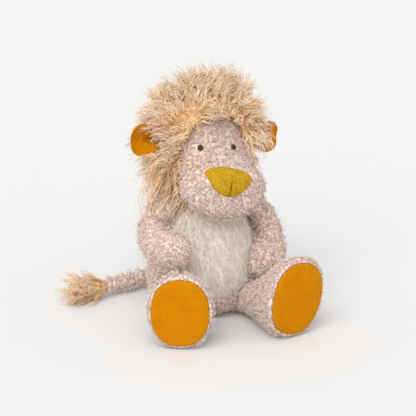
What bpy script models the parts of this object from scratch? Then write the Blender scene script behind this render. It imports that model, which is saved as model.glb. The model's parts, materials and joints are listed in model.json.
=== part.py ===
"""A seated plush lion, built as it is sewn: thin plush skins over wads of stuffing.

Metres, +Z up. The lion faces -Y, so its own left is +X. The origin is on the floor, under the
seat. Each soft form is a coarse cage under a Subdivision Surface; its skin is that form with a
wall, and its stuffing is the same form set inside the wall. Limbs, tail and neck turn on round
roots that sit in matching seats.
"""

from math import cos, pi, radians, sin, sqrt, tau

import bmesh
import bpy
from mathutils import Vector

X = Vector((1, 0, 0))
Y = Vector((0, 1, 0))
Z = Vector((0, 0, 1))

# Fabric, stuffing and clearances
SKIN = 0.0025
GAP = 0.0003
STUFFING_GAP = 0.0008
SEAT_GAP = 0.0008
FLAT_DEPTH = 0.0005
OVERRUN = 0.030
SMOOTH_LEVEL = 1
SPLINE_WEIGHTS = (1, 4, 1)
SHARP_ANGLE = radians(50)
MERGE_DISTANCE = 0.00005

# Torso, a pear that sits on its flattened seat
TORSO_HEIGHT = 0.1465
TORSO_WIDTH = 0.138
TORSO_DEPTH = 0.122
TORSO_BACKSET = 0.007
TORSO_SIDES = 8
TORSO_RING_SHARES = (
    # height, width, depth
    (0.00, 0.44, 0.44),
    (0.00, 0.80, 0.78),
    (0.10, 0.99, 0.99),
    (0.32, 1.05, 1.06),
    (0.58, 0.94, 0.92),
    (0.82, 0.74, 0.69),
    (0.98, 0.44, 0.42),
    (1.00, 0.18, 0.18),
)
BELLY_WIDTH = 0.100
BELLY_TOP = 0.142
BELLY_BOTTOM = 0.016
BELLY_BACK = 0.015
BELLY_POINTS = 20
BELLY_TAPER_SHARE = 0.30

# Granule pouch in the seat
POUCH_WIDTH = 0.084
POUCH_DEPTH = 0.074
POUCH_HEIGHT = 0.030
POUCH_RING_SHARES = (
    # height, width and depth
    (0.00, 0.55),
    (0.00, 0.92),
    (0.45, 1.06),
    (0.95, 0.80),
    (1.00, 0.35),
)

# Neck: a firm round wad of stuffing that the head turns and nods on
NECK_RADIUS = 0.022
NECK_PLACE = Vector((0, 0.008, 0.151))
HEAD_TURN = radians(9)
HEAD_LEAN = radians(5)

# Head, measured from the neck's centre; the muzzle is its front end
HEAD_FRONT = 0.077
HEAD_BACK = 0.062
HEAD_HALF_WIDTH = 0.0465
HEAD_TOP = 0.099
HEAD_SIDES = 8
HEAD_RING_SHARES = (
    # reach of HEAD_FRONT (below 0) or HEAD_BACK, then half width, underside and crown of HEAD_TOP
    (-1.00, 0.38, -0.050, 0.260),
    (-0.97, 0.80, -0.170, 0.350),
    (-0.82, 1.08, -0.245, 0.405),
    (-0.60, 1.12, -0.235, 0.450),
    (-0.40, 1.00, -0.110, 0.530),
    (-0.23, 0.88, 0.030, 0.880),
    (0.03, 0.93, 0.060, 1.030),
    (0.45, 0.98, 0.080, 1.040),
    (0.85, 0.78, 0.160, 0.900),
    (1.00, 0.36, 0.400, 0.680),
)

# The nose and eyes sit a little to the lion's right of the head's middle
FACE_SHIFT = -0.004

# Nose pad, a felt leaf on the front of the muzzle
NOSE_ROLL = radians(5)
NOSE_HALF_WIDTH = 0.0275
NOSE_ABOVE = 0.0085
NOSE_BELOW = 0.0225
NOSE_HEIGHT = 0.0295
NOSE_THICKNESS = 0.0022
NOSE_POINTS = 32
NOSE_TIP_POWER = 1.35

# Eyes: a domed bead with a stem, locked by a washer inside the head
EYE_SPREAD = 0.0205
EYE_HEIGHT = 0.0535
EYE_RADIUS = 0.0034
EYE_DOME = 0.0028
EYE_LIFT = 0.0010
STEM_RADIUS = 0.0012
STEM_LENGTH = 0.0075
WASHER_RADIUS = 0.0058
WASHER_THICKNESS = 0.0012
WASHER_LIFT = 0.0018
EYE_STEPS = 12
DOME_STEPS = 4

# Mane, the space that the long pile fills round the face
MANE_GAP = 0.0008
MANE_BASE = 0.006
MANE_CROWN = 0.135
MANE_HALF_WIDTH = 0.076
MANE_HALF_DEPTH = 0.056
MANE_BACKSET = 0.023
MANE_SIDES = 8
MANE_RING_SHARES = (
    # height, width, depth, lean to the lion's left
    (0.00, 0.62, 0.62, 0.00),
    (0.02, 0.84, 0.86, 0.00),
    (0.18, 0.95, 0.99, 0.00),
    (0.42, 0.99, 1.03, 0.00),
    (0.64, 1.03, 1.02, 0.01),
    (0.83, 0.77, 0.84, 0.06),
    (0.96, 0.46, 0.50, 0.12),
    (1.00, 0.18, 0.20, 0.14),
)
FACE_HALF_WIDTH = 0.0355
FACE_ARCH = 0.093
FACE_ARCH_SHARE = 0.36
FACE_DEPTH = 0.010
FACE_POINTS = 14

# Ears, measured from the head's side outwards
EAR_LENGTH = 0.052
EAR_HALF_HEIGHT = 0.019
EAR_CUP = 0.009
EAR_WALL = 0.0026
EAR_LINING_WALL = 0.0010
EAR_LINING_INSET_SHARE = 0.03
EAR_HEIGHT = 0.0565
EAR_BACKSET = 0.006
EAR_SWEEP = radians(3)
EAR_COLUMNS = 4
EAR_SEAM_GAP = 0.0009
EAR_SWING = radians(15)
EAR_ROOM = 0.0036
EAR_ROOM_ROOT_SHARE = 0.10
EAR_OUTLINE_SHARES = (
    # length, half height, depth of the cup
    (0.00, 0.30, 0.00),
    (0.26, 0.34, 0.10),
    (0.48, 0.78, 0.70),
    (0.72, 1.06, 1.00),
    (0.92, 0.88, 0.70),
    (1.00, 0.46, 0.35),
)

# Arms, measured from the shoulder seam
ARM_LENGTH = 0.118
ARM_RADIUS = 0.019
ARM_ROOT_RADIUS = 0.0175
ARM_SIDES = 6
ARM_STUFFING_GAP = 0.0012
SHOULDER_SPREAD = 0.049
SHOULDER_HEIGHT = 0.129
SHOULDER_BACKSET = 0.004
ARM_RADIUS_SHARES = (0.92, 0.92, 0.98, 1.04, 1.16, 1.18, 0.74)
RIGHT_ARM_PATH_SHARES = (
    # outwards, forwards, down
    (0.000, 0.000, 0.000),
    (0.095, 0.015, 0.070),
    (0.165, 0.075, 0.185),
    (0.190, 0.240, 0.268),
    (0.145, 0.450, 0.272),
    (0.080, 0.650, 0.255),
    (0.030, 0.780, 0.245),
)
LEFT_ARM_PATH_SHARES = (
    (0.000, 0.000, 0.000),
    (0.105, 0.010, 0.085),
    (0.190, 0.050, 0.215),
    (0.215, 0.145, 0.370),
    (0.155, 0.285, 0.485),
    (0.070, 0.430, 0.555),
    (0.005, 0.530, 0.585),
)

# Legs, measured from the hip seam along the leg
LEG_LENGTH = 0.087
LEG_ROOT_RADIUS = 0.020
FOOT_HALF_WIDTH = 0.0375
FOOT_HALF_HEIGHT = 0.0455
LEG_SIDES = 8
HIP_HEIGHT = 0.0225
RIGHT_HIP_PLACE = Vector((-0.042, -0.043, HIP_HEIGHT))
LEFT_HIP_PLACE = Vector((0.0445, -0.0445, HIP_HEIGHT))
RIGHT_LEG_SPLAY = radians(17)
LEFT_LEG_SPLAY = radians(19)
RIGHT_FOOT_ROLL = radians(0)
LEFT_FOOT_ROLL = radians(13)
RIGHT_FOOT_FILL_SHARE = 1.00
LEFT_FOOT_FILL_SHARE = 1.07
LEG_RING_SHARES = (
    # reach of LEG_LENGTH, width, height, underside of HIP_HEIGHT, roll
    (0.32, 0.62, 0.55, 0.110, 0.2),
    (0.56, 0.78, 0.73, 0.010, 0.5),
    (0.78, 0.95, 0.94, 0.000, 0.8),
    (0.93, 1.03, 1.02, 0.000, 1.0),
    (1.00, 0.96, 0.96, 0.090, 1.0),
    (1.00, 0.78, 0.78, 0.450, 1.0),
)
SOLE_SHARE = 0.885
SOLE_SIDES = 24
SOLE_CROWN = 0.0016
SOLE_CROWN_SHARE = 0.72

# Tail, measured from its seam at the back
TAIL_RADIUS = 0.0088
TAIL_LENGTH = 0.128
TAIL_ROOT_RADIUS = 0.0105
TAIL_SIDES = 6
TUFT_SIDES = 8
TAIL_BACKSET = 0.0665
TAIL_HEIGHT = 0.0245
TAIL_PATH_SHARES = (
    # to the lion's right, back, down
    (0.000, 0.000, 0.000),
    (0.035, 0.090, 0.025),
    (0.190, 0.145, 0.060),
    (0.450, 0.095, 0.080),
    (0.740, -0.010, 0.080),
    (1.000, -0.090, 0.075),
)
TAIL_RADIUS_SHARES = (1.12, 1.02, 1.02, 1.02, 1.00, 0.70)
TUFT_LENGTH = 0.066
TUFT_RADIUS = 0.0135
TUFT_OVERLAP = 0.014
TUFT_RING_SHARES = (
    # reach, radius
    (0.00, 0.55),
    (0.06, 0.86),
    (0.32, 1.04),
    (0.62, 1.02),
    (0.88, 0.62),
    (1.00, 0.26),
)

# Shares of a round root, from its inner end to its seam
ROOT_OPENING = 0.005
ROOT_RING_SHARES = (
    # reach, radius
    (-0.82, 0.60),
    (0.00, 1.10),
    (0.42, 0.94),
)
SEAT_SEGMENTS = 16
SEAT_RINGS = 8

PLUSH = (0.68, 0.56, 0.51)
CREAM = (0.78, 0.72, 0.64)
FIBRE = (0.90, 0.90, 0.88)
ORANGE_LINEN = (0.80, 0.32, 0.02)
MUSTARD_FELT = (0.55, 0.38, 0.03)
BLOND_PILE = (0.78, 0.56, 0.34)
BEAD_BLACK = (0.01, 0.01, 0.012)
WASHER_WHITE = (0.85, 0.85, 0.82)
POUCH_CLOTH = (0.70, 0.68, 0.62)


def clear_scene():
    for item in list(bpy.data.objects):
        bpy.data.objects.remove(item, do_unlink=True)


def new_collection(name):
    made = bpy.data.collections.new(name)
    bpy.context.scene.collection.children.link(made)
    return made


def finish(name, colour, roughness):
    made = bpy.data.materials.new(name)
    made.use_nodes = True
    shader = made.node_tree.nodes["Principled BSDF"]
    shader.inputs["Base Color"].default_value = (*colour, 1.0)
    shader.inputs["Roughness"].default_value = roughness
    shader.inputs["Metallic"].default_value = 0.0
    return made


def bspline_growth(sides):
    """How far a cage ring stands outside the smooth ring that it makes."""
    before, here, after = SPLINE_WEIGHTS
    return (before + here + after) / (here + (before + after) * cos(tau / sides))


def ellipse(centre, side, up, half_side, half_up, sides, grown=True):
    grow = bspline_growth(sides) if grown else 1.0
    ring = []
    for step in range(sides):
        angle = tau * step / sides
        ring.append(centre + side * (half_side * grow * cos(angle)) + up * (half_up * grow * sin(angle)))
    return ring


def loft(name, rings):
    """A closed cage through rings with equal numbers of points."""
    shape = bmesh.new()
    loops = [[shape.verts.new(point) for point in ring] for ring in rings]
    for low, high in zip(loops, loops[1:]):
        count = len(low)
        for index in range(count):
            following = (index + 1) % count
            shape.faces.new((low[index], low[following], high[following], high[index]))
    shape.faces.new(list(reversed(loops[0])))
    shape.faces.new(loops[-1])
    bmesh.ops.recalc_face_normals(shape, faces=shape.faces)
    mesh = bpy.data.meshes.new(name)
    shape.to_mesh(mesh)
    shape.free()
    return mesh


def open_sheet(name, rows):
    """An open surface through rows of points, to be given its wall by Solidify."""
    shape = bmesh.new()
    lines = [[shape.verts.new(point) for point in row] for row in rows]
    for low, high in zip(lines, lines[1:]):
        for index in range(len(low) - 1):
            shape.faces.new((low[index], low[index + 1], high[index + 1], high[index]))
    mesh = bpy.data.meshes.new(name)
    shape.to_mesh(mesh)
    shape.free()
    return mesh


def put(name, mesh, collection, parent=None, place=None, turn=None):
    made = bpy.data.objects.new(name, mesh)
    collection.objects.link(made)
    made.parent = parent
    if place is not None:
        made.location = place
    if turn is not None:
        made.rotation_euler = turn
    mesh.shade_smooth()
    mesh.set_sharp_from_angle(angle=SHARP_ANGLE)
    return made


def as_guide(item):
    item.hide_render = True
    item.display_type = "WIRE"
    return item


def smooth(item, levels=SMOOTH_LEVEL):
    modifier = item.modifiers.new("smooth", "SUBSURF")
    modifier.levels = levels
    modifier.render_levels = levels
    return item


def wall(item, thickness, offset=-1.0):
    modifier = item.modifiers.new("wall", "SOLIDIFY")
    modifier.thickness = thickness
    modifier.offset = offset
    return item


def swell(item, distance):
    """Move the whole surface out along its normals, or in where distance is below zero."""
    modifier = item.modifiers.new("swell", "DISPLACE")
    modifier.direction = "NORMAL"
    modifier.mid_level = 0.0
    modifier.strength = distance
    return item


def boolean(item, other, operation="DIFFERENCE"):
    modifier = item.modifiers.new(other.name, "BOOLEAN")
    modifier.operation = operation
    modifier.solver = "EXACT"
    modifier.object = other
    return item


def ball_mesh(name, radius):
    shape = bmesh.new()
    bmesh.ops.create_uvsphere(shape, u_segments=SEAT_SEGMENTS, v_segments=SEAT_RINGS, radius=radius)
    mesh = bpy.data.meshes.new(name)
    shape.to_mesh(mesh)
    shape.free()
    return mesh


def cylinder_mesh(name, radius, low, high, sides=EYE_STEPS):
    """A cylinder along Z from low to high."""
    shape = bmesh.new()
    bmesh.ops.create_cone(
        shape, cap_ends=True, segments=sides, radius1=radius, radius2=radius, depth=high - low
    )
    bmesh.ops.translate(shape, verts=shape.verts, vec=Z * ((low + high) / 2))
    mesh = bpy.data.meshes.new(name)
    shape.to_mesh(mesh)
    shape.free()
    return mesh


def box_mesh(name, low, high):
    shape = bmesh.new()
    bmesh.ops.create_cube(shape, size=1.0)
    span = Vector(high) - Vector(low)
    bmesh.ops.scale(shape, verts=shape.verts, vec=span)
    bmesh.ops.translate(shape, verts=shape.verts, vec=(Vector(low) + Vector(high)) / 2)
    mesh = bpy.data.meshes.new(name)
    shape.to_mesh(mesh)
    shape.free()
    return mesh


def plate_mesh(name, outline, low, high):
    """A flat outline in X and Z, as a plate from y = low to y = high."""
    rings = [[Vector((x, y, z)) for x, z in outline] for y in (low, high)]
    return loft(name, rings)


def path_frames(points, up_hint=Z):
    """The direction, side and up of a soft tube at each of its points."""
    frames = []
    last = len(points) - 1
    for index in range(len(points)):
        along = (points[min(index + 1, last)] - points[max(index - 1, 0)]).normalized()
        side = along.cross(up_hint).normalized()
        frames.append((along, side, side.cross(along).normalized()))
    return frames


def rooted_tube(name, points, radii, root_radius, sides):
    """A tube with a round root about its first point; the rest of its rings follow the path."""
    along, side, up = path_frames(points[:2])[0]
    rings = []
    for reach, radius in ROOT_RING_SHARES:
        ring_radius = root_radius * radius
        centre = points[0] + along * (root_radius * reach)
        rings.append(ellipse(centre, side, up, ring_radius, ring_radius, sides))
    frames = path_frames(points)
    for point, radius, (_, side, up) in list(zip(points, radii, frames))[1:]:
        rings.append(ellipse(point, side, up, radius, radius, sides))
    return loft(name, rings)


def aimed(along):
    """The turn that points a piece's +Z along a direction."""
    return along.to_track_quat("Z", "Y").to_euler()


class Lion:
    """The collections, finishes and shared guides of one lion."""

    def __init__(self):
        self.pieces = new_collection("plush_lion")
        self.guides = new_collection("cutters")
        self.plush = finish("beige_plush", PLUSH, 0.95)
        self.cream = finish("cream_plush", CREAM, 0.95)
        self.fibre = finish("white_stuffing", FIBRE, 1.0)
        self.linen = finish("orange_linen", ORANGE_LINEN, 0.9)
        self.felt = finish("mustard_felt", MUSTARD_FELT, 0.95)
        self.pile = finish("blond_long_pile", BLOND_PILE, 0.9)
        self.bead = finish("black_bead", BEAD_BLACK, 0.15)
        self.washer = finish("white_washer", WASHER_WHITE, 0.5)
        self.cloth = finish("pouch_cloth", POUCH_CLOTH, 0.95)
        self.floor = as_guide(put("floor_trim", box_mesh(
            "floor_trim", (-LEG_LENGTH - TORSO_WIDTH, -LEG_LENGTH - TORSO_WIDTH, -OVERRUN),
            (LEG_LENGTH + TORSO_WIDTH, LEG_LENGTH + TORSO_WIDTH, 0)), self.guides))

    def piece(self, name, mesh, material, parent=None, place=None, turn=None):
        made = put(name, mesh, self.pieces, parent, place, turn)
        made.data.materials.append(material)
        return made

    def guide(self, name, mesh, parent=None, place=None, turn=None):
        return as_guide(put(name, mesh, self.guides, parent, place, turn))

    def pivot(self, name, place, turn=(0, 0, 0)):
        made = bpy.data.objects.new(name, None)
        made.location = place
        made.rotation_euler = turn
        self.pieces.objects.link(made)
        return made


def torso_mesh(name):
    rings = []
    for height, width, depth in TORSO_RING_SHARES:
        z = -FLAT_DEPTH + (TORSO_HEIGHT + FLAT_DEPTH) * height
        centre = Vector((0, TORSO_BACKSET, z))
        rings.append(ellipse(centre, X, Y, TORSO_WIDTH / 2 * width, TORSO_DEPTH / 2 * depth, TORSO_SIDES))
    return loft(name, rings)


def belly_outline(inset):
    """A rounded panel, narrower at its foot, as points in X and Z."""
    middle = (BELLY_TOP + BELLY_BOTTOM) / 2
    half_height = (BELLY_TOP - BELLY_BOTTOM) / 2 - inset
    outline = []
    for step in range(BELLY_POINTS):
        angle = tau * step / BELLY_POINTS
        z = sin(angle)
        narrowing = 1.0 - BELLY_TAPER_SHARE * max(0.0, -z) ** 2
        outline.append(((BELLY_WIDTH / 2 - inset) * cos(angle) * narrowing, middle + half_height * z))
    return outline


def pouch_mesh(name):
    rings = []
    for height, width in POUCH_RING_SHARES:
        centre = Vector((0, TORSO_BACKSET, SKIN - FLAT_DEPTH + STUFFING_GAP + POUCH_HEIGHT * height))
        rings.append(ellipse(centre, X, Y, POUCH_WIDTH / 2 * width, POUCH_DEPTH / 2 * width, TORSO_SIDES))
    return loft(name, rings)


def shoulder_place(side):
    return Vector((side * SHOULDER_SPREAD, SHOULDER_BACKSET, SHOULDER_HEIGHT))


def tail_place():
    return Vector((0, TAIL_BACKSET, TAIL_HEIGHT))


def make_seats(lion):
    """Round cutters where the neck, limbs and tail sit in the torso."""
    seats = [lion.guide("neck_seat", ball_mesh("neck_seat", NECK_RADIUS + SEAT_GAP), place=NECK_PLACE)]
    for word, side in (("left", 1), ("right", -1)):
        arm_ball = ball_mesh("shoulder_seat_" + word, ARM_ROOT_RADIUS + SEAT_GAP)
        seats.append(lion.guide("shoulder_seat_" + word, arm_ball, place=shoulder_place(side)))
    for word, hip in (("left", LEFT_HIP_PLACE), ("right", RIGHT_HIP_PLACE)):
        leg_ball = ball_mesh("hip_seat_" + word, LEG_ROOT_RADIUS + SEAT_GAP)
        seats.append(lion.guide("hip_seat_" + word, leg_ball, place=hip))
    tail_ball = ball_mesh("tail_seat", TAIL_ROOT_RADIUS + SEAT_GAP)
    seats.append(lion.guide("tail_seat", tail_ball, place=tail_place()))
    return seats


def make_torso(lion, seats):
    cut = plate_mesh("belly_cut", belly_outline(0), -TORSO_DEPTH, -BELLY_BACK)
    panel_cut = lion.guide("belly_cut", cut)
    keep = plate_mesh("belly_keep", belly_outline(GAP), -TORSO_DEPTH, -BELLY_BACK - GAP)
    panel_keep = lion.guide("belly_keep", keep)

    skin = wall(smooth(lion.piece("torso_skin", torso_mesh("torso_skin"), lion.plush)), SKIN)
    boolean(skin, lion.floor)
    panel = wall(smooth(lion.piece("belly_panel", torso_mesh("belly_panel"), lion.cream)), SKIN)
    boolean(panel, panel_keep, "INTERSECT")
    boolean(skin, panel_cut)

    stuffing = smooth(lion.piece("torso_stuffing", torso_mesh("torso_stuffing"), lion.fibre))
    swell(stuffing, -SKIN - STUFFING_GAP)
    pouch_room = swell(smooth(lion.guide("pouch_room", pouch_mesh("pouch_room"))), STUFFING_GAP)
    boolean(stuffing, pouch_room)
    smooth(lion.piece("granule_pouch", pouch_mesh("granule_pouch"), lion.cloth))

    for seat in seats:
        for piece in (skin, panel, stuffing):
            boolean(piece, seat)


def head_mesh(name):
    rings = []
    for reach, width, under, crown in HEAD_RING_SHARES:
        y = reach * (HEAD_FRONT if reach < 0 else HEAD_BACK)
        low = HEAD_TOP * under
        high = HEAD_TOP * crown
        centre = Vector((0, y, (low + high) / 2))
        rings.append(ellipse(centre, X, Z, HEAD_HALF_WIDTH * width, (high - low) / 2, HEAD_SIDES))
    return loft(name, rings)


def nose_outline():
    """A leaf with two side tips, deeper below than above, as points in X and Z."""
    outline = []
    for step in range(NOSE_POINTS):
        angle = tau * step / NOSE_POINTS
        lift = abs(sin(angle)) ** NOSE_TIP_POWER
        tall = NOSE_ABOVE if sin(angle) > 0 else -NOSE_BELOW
        x = NOSE_HALF_WIDTH * cos(angle)
        z = tall * lift
        outline.append((
            FACE_SHIFT + x * cos(NOSE_ROLL) + z * sin(NOSE_ROLL),
            NOSE_HEIGHT + z * cos(NOSE_ROLL) - x * sin(NOSE_ROLL)))
    return outline


def surface_point(item, start, along):
    """Where a line in the item's own frame meets its smooth surface, and the normal there."""
    depsgraph = bpy.context.evaluated_depsgraph_get()
    found, place, normal, _ = item.evaluated_get(depsgraph).ray_cast(start, along)
    assert found
    return place, normal


def eye_mesh(name):
    """The outer line of the dome, its flat back and the stem, to be turned about Z."""
    points = []
    for step in range(DOME_STEPS + 1):
        angle = pi / 2 * (1.0 - step / DOME_STEPS)
        points.append((EYE_RADIUS * cos(angle), EYE_LIFT + EYE_DOME * sin(angle)))
    points[0] = (0, points[0][1])
    points += [(STEM_RADIUS, EYE_LIFT), (STEM_RADIUS, -STEM_LENGTH), (0, -STEM_LENGTH)]
    return profile_mesh(name, points)


def washer_mesh(name):
    low = -SKIN - WASHER_LIFT - WASHER_THICKNESS
    inner = STEM_RADIUS + GAP
    return profile_mesh(name, [
        (inner, low + WASHER_THICKNESS),
        (WASHER_RADIUS, low + WASHER_THICKNESS),
        (WASHER_RADIUS, low),
        (inner, low),
        (inner, low + WASHER_THICKNESS),
    ])


def profile_mesh(name, points):
    shape = bmesh.new()
    line = [shape.verts.new((x, 0, z)) for x, z in points]
    for first, second in zip(line, line[1:]):
        shape.edges.new((first, second))
    mesh = bpy.data.meshes.new(name)
    shape.to_mesh(mesh)
    shape.free()
    return mesh


def turned(item):
    modifier = item.modifiers.new("turn", "SCREW")
    modifier.axis = "Z"
    modifier.steps = EYE_STEPS
    modifier.render_steps = EYE_STEPS
    modifier.use_merge_vertices = True
    modifier.merge_threshold = MERGE_DISTANCE
    return item


def make_eye(lion, word, side, pivot, form, skin, stuffing):
    start = Vector((FACE_SHIFT + side * EYE_SPREAD, -HEAD_FRONT - OVERRUN, EYE_HEIGHT))
    place, normal = surface_point(form, start, Y)
    turn = aimed(normal)
    turned(lion.piece("eye_" + word, eye_mesh("eye_" + word), lion.bead, pivot, place, turn))
    name = "eye_washer_" + word
    turned(lion.piece(name, washer_mesh(name), lion.washer, pivot, place, turn))
    hole = cylinder_mesh("eye_hole_" + word, STEM_RADIUS + GAP, -STEM_LENGTH, EYE_LIFT + STEM_LENGTH)
    boolean(skin, lion.guide("eye_hole_" + word, hole, pivot, place, turn))
    room = cylinder_mesh("washer_room_" + word, WASHER_RADIUS + GAP, -STEM_LENGTH - STUFFING_GAP, 0)
    boolean(stuffing, lion.guide("washer_room_" + word, room, pivot, place, turn))


def mane_mesh(name):
    rings = []
    for height, width, depth, lean in MANE_RING_SHARES:
        z = MANE_BASE + (MANE_CROWN - MANE_BASE) * height
        centre = Vector((MANE_HALF_WIDTH * lean, MANE_BACKSET, z))
        rings.append(ellipse(centre, X, Y, MANE_HALF_WIDTH * width, MANE_HALF_DEPTH * depth, MANE_SIDES))
    return loft(name, rings)


def face_outline():
    """The arch that the face looks out of, as points in X and Z."""
    spring = FACE_ARCH * (1.0 - FACE_ARCH_SHARE)
    outline = [(-FACE_HALF_WIDTH, -HEAD_TOP), (FACE_HALF_WIDTH, -HEAD_TOP)]
    for step in range(FACE_POINTS + 1):
        angle = pi * step / FACE_POINTS
        outline.append((FACE_HALF_WIDTH * cos(angle), spring + FACE_ARCH * FACE_ARCH_SHARE * sin(angle)))
    return outline


def ear_rows(side, inset_share, forward):
    """The ear's cupped surface, from its root to its tip, with its front towards -Y."""
    rows = []
    for length, half_height, cup_share in EAR_OUTLINE_SHARES:
        reach = EAR_LENGTH * (inset_share + length * (1.0 - 2.0 * inset_share))
        row = []
        for column in range(EAR_COLUMNS):
            across = 2.0 * column / (EAR_COLUMNS - 1) - 1.0
            cup = EAR_CUP * cup_share * (1.0 - across * across)
            height = EAR_HALF_HEIGHT * half_height * (1.0 - inset_share) * across
            row.append(Vector((side * reach, cup - EAR_WALL / 2 - forward, height)))
        rows.append(row if side < 0 else list(reversed(row)))
    return rows


def ear_room_mesh(name, side):
    """The space that the ear sweeps as it flops back and forth."""
    root = (-EAR_ROOM_ROOT_SHARE, *EAR_OUTLINE_SHARES[0][1:])
    rings = []
    for length, half_height, cup_share in (root, *EAR_OUTLINE_SHARES[1:]):
        sweep = EAR_LENGTH * abs(length) * sin(EAR_SWING) + EAR_ROOM + EAR_LINING_WALL
        front = -EAR_WALL / 2 - sweep
        back = EAR_CUP * cup_share + EAR_WALL / 2 + sweep
        half = EAR_HALF_HEIGHT * half_height + EAR_ROOM
        x = side * EAR_LENGTH * length
        corners = ((front, -half), (back, -half), (back, half), (front, half))
        rings.append([Vector((x, y, z)) for y, z in corners])
    return loft(name, rings)


def make_ear(lion, word, side, pivot, form, mane):
    start = Vector((side * (HEAD_HALF_WIDTH + OVERRUN), EAR_BACKSET, EAR_HEIGHT))
    place, _ = surface_point(form, start, -X * side)
    hinge = lion.pivot("ear_pivot_" + word, place + X * (side * EAR_SEAM_GAP), (0, 0, side * EAR_SWEEP))
    hinge.parent = pivot
    back = lion.piece("ear_back_" + word, open_sheet("ear_back", ear_rows(side, 0, 0)), lion.plush, hinge)
    wall(smooth(back), EAR_WALL)
    lining_rows = ear_rows(side, EAR_LINING_INSET_SHARE, GAP)
    lining = lion.piece("ear_lining_" + word, open_sheet("ear_lining", lining_rows), lion.linen, hinge)
    wall(smooth(lining), EAR_LINING_WALL, 1.0)
    boolean(mane, lion.guide("ear_room_" + word, ear_room_mesh("ear_room", side), hinge))


def make_head(lion):
    neck = lion.pivot("neck_pivot", NECK_PLACE)
    lion.piece("neck_stuffing", ball_mesh("neck_stuffing", NECK_RADIUS), lion.fibre, neck)
    pivot = lion.pivot("head_pivot", (0, 0, 0), (0, HEAD_LEAN, HEAD_TURN))
    pivot.parent = neck

    form = smooth(lion.guide("head_form", head_mesh("head_form"), pivot))
    seat = lion.guide("head_seat", ball_mesh("head_seat", NECK_RADIUS + SEAT_GAP), pivot)
    skin = wall(smooth(lion.piece("head_skin", head_mesh("head_skin"), lion.plush, pivot)), SKIN)
    boolean(skin, seat)
    stuffing = smooth(lion.piece("head_stuffing", head_mesh("head_stuffing"), lion.fibre, pivot))
    boolean(swell(stuffing, -SKIN - STUFFING_GAP), seat)

    nose = smooth(lion.piece("nose_pad", head_mesh("nose_pad"), lion.felt, pivot))
    swell(nose, GAP + NOSE_THICKNESS)
    nose_plate = plate_mesh("nose_keep", nose_outline(), -HEAD_FRONT - OVERRUN, -HEAD_FRONT / 2)
    boolean(nose, lion.guide("nose_keep", nose_plate, pivot), "INTERSECT")
    head_room = swell(smooth(lion.guide("head_room", head_mesh("head_room"), pivot)), GAP)
    boolean(nose, head_room)

    mane = smooth(lion.piece("mane", mane_mesh("mane"), lion.pile, pivot))
    mane_room = lion.guide("mane_room", head_mesh("mane_room"), pivot)
    boolean(mane, swell(smooth(mane_room), MANE_GAP))
    face = plate_mesh("face_opening", face_outline(), -HEAD_FRONT - OVERRUN, FACE_DEPTH)
    boolean(mane, lion.guide("face_opening", face, pivot))
    boolean(mane, seat)

    for word, side in (("left", 1), ("right", -1)):
        make_eye(lion, word, side, pivot, form, skin, stuffing)
        make_ear(lion, word, side, pivot, form, mane)


def limb_points(start, side, length, shares):
    """A limb's path: shares run outwards, forwards and down."""
    points = []
    for out, forward, down in shares:
        points.append(start + Vector((side * out, -forward, -down)) * length)
    return points


def root_opening(lion, name, along, radius, parent):
    """A block that trims the inner end of a round root far enough to open its skin."""
    inner_end = radius * ROOT_RING_SHARES[0][0] + ROOT_OPENING
    block = box_mesh(name, (-radius, -radius, -radius - SKIN), (radius, radius, inner_end))
    return lion.guide(name, block, parent, None, aimed(along))


def make_arm(lion, word, side, shares):
    shoulder = shoulder_place(side)
    pivot = lion.pivot("shoulder_pivot_" + word, shoulder)
    points = limb_points(Vector((0, 0, 0)), side, ARM_LENGTH, shares)
    radii = [ARM_RADIUS * share for share in ARM_RADIUS_SHARES]
    name = "arm_skin_" + word
    skin = wall(smooth(lion.piece(
        name, rooted_tube(name, points, radii, ARM_ROOT_RADIUS, ARM_SIDES), lion.plush, pivot)), SKIN)
    name = "arm_stuffing_" + word
    stuffing = smooth(lion.piece(
        name, rooted_tube(name, points, radii, ARM_ROOT_RADIUS, ARM_SIDES), lion.fibre, pivot))
    swell(stuffing, -SKIN - ARM_STUFFING_GAP)
    body_room = smooth(lion.guide("body_room_" + word, torso_mesh("body_room_" + word)))
    swell(body_room, STUFFING_GAP)
    root_room = lion.guide(
        "root_room_" + word, ball_mesh("root_room_" + word, ARM_ROOT_RADIUS + GAP), place=shoulder)
    boolean(body_room, root_room)
    along = (points[1] - points[0]).normalized()
    opening = root_opening(lion, "arm_opening_" + word, along, ARM_ROOT_RADIUS, pivot)
    for piece in (skin, stuffing):
        boolean(piece, body_room)
        boolean(piece, opening)


def reach_down(width, height, roll):
    """How far a rolled oval reaches below its centre."""
    return sqrt((height * cos(roll)) ** 2 + (width * sin(roll)) ** 2)


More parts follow.
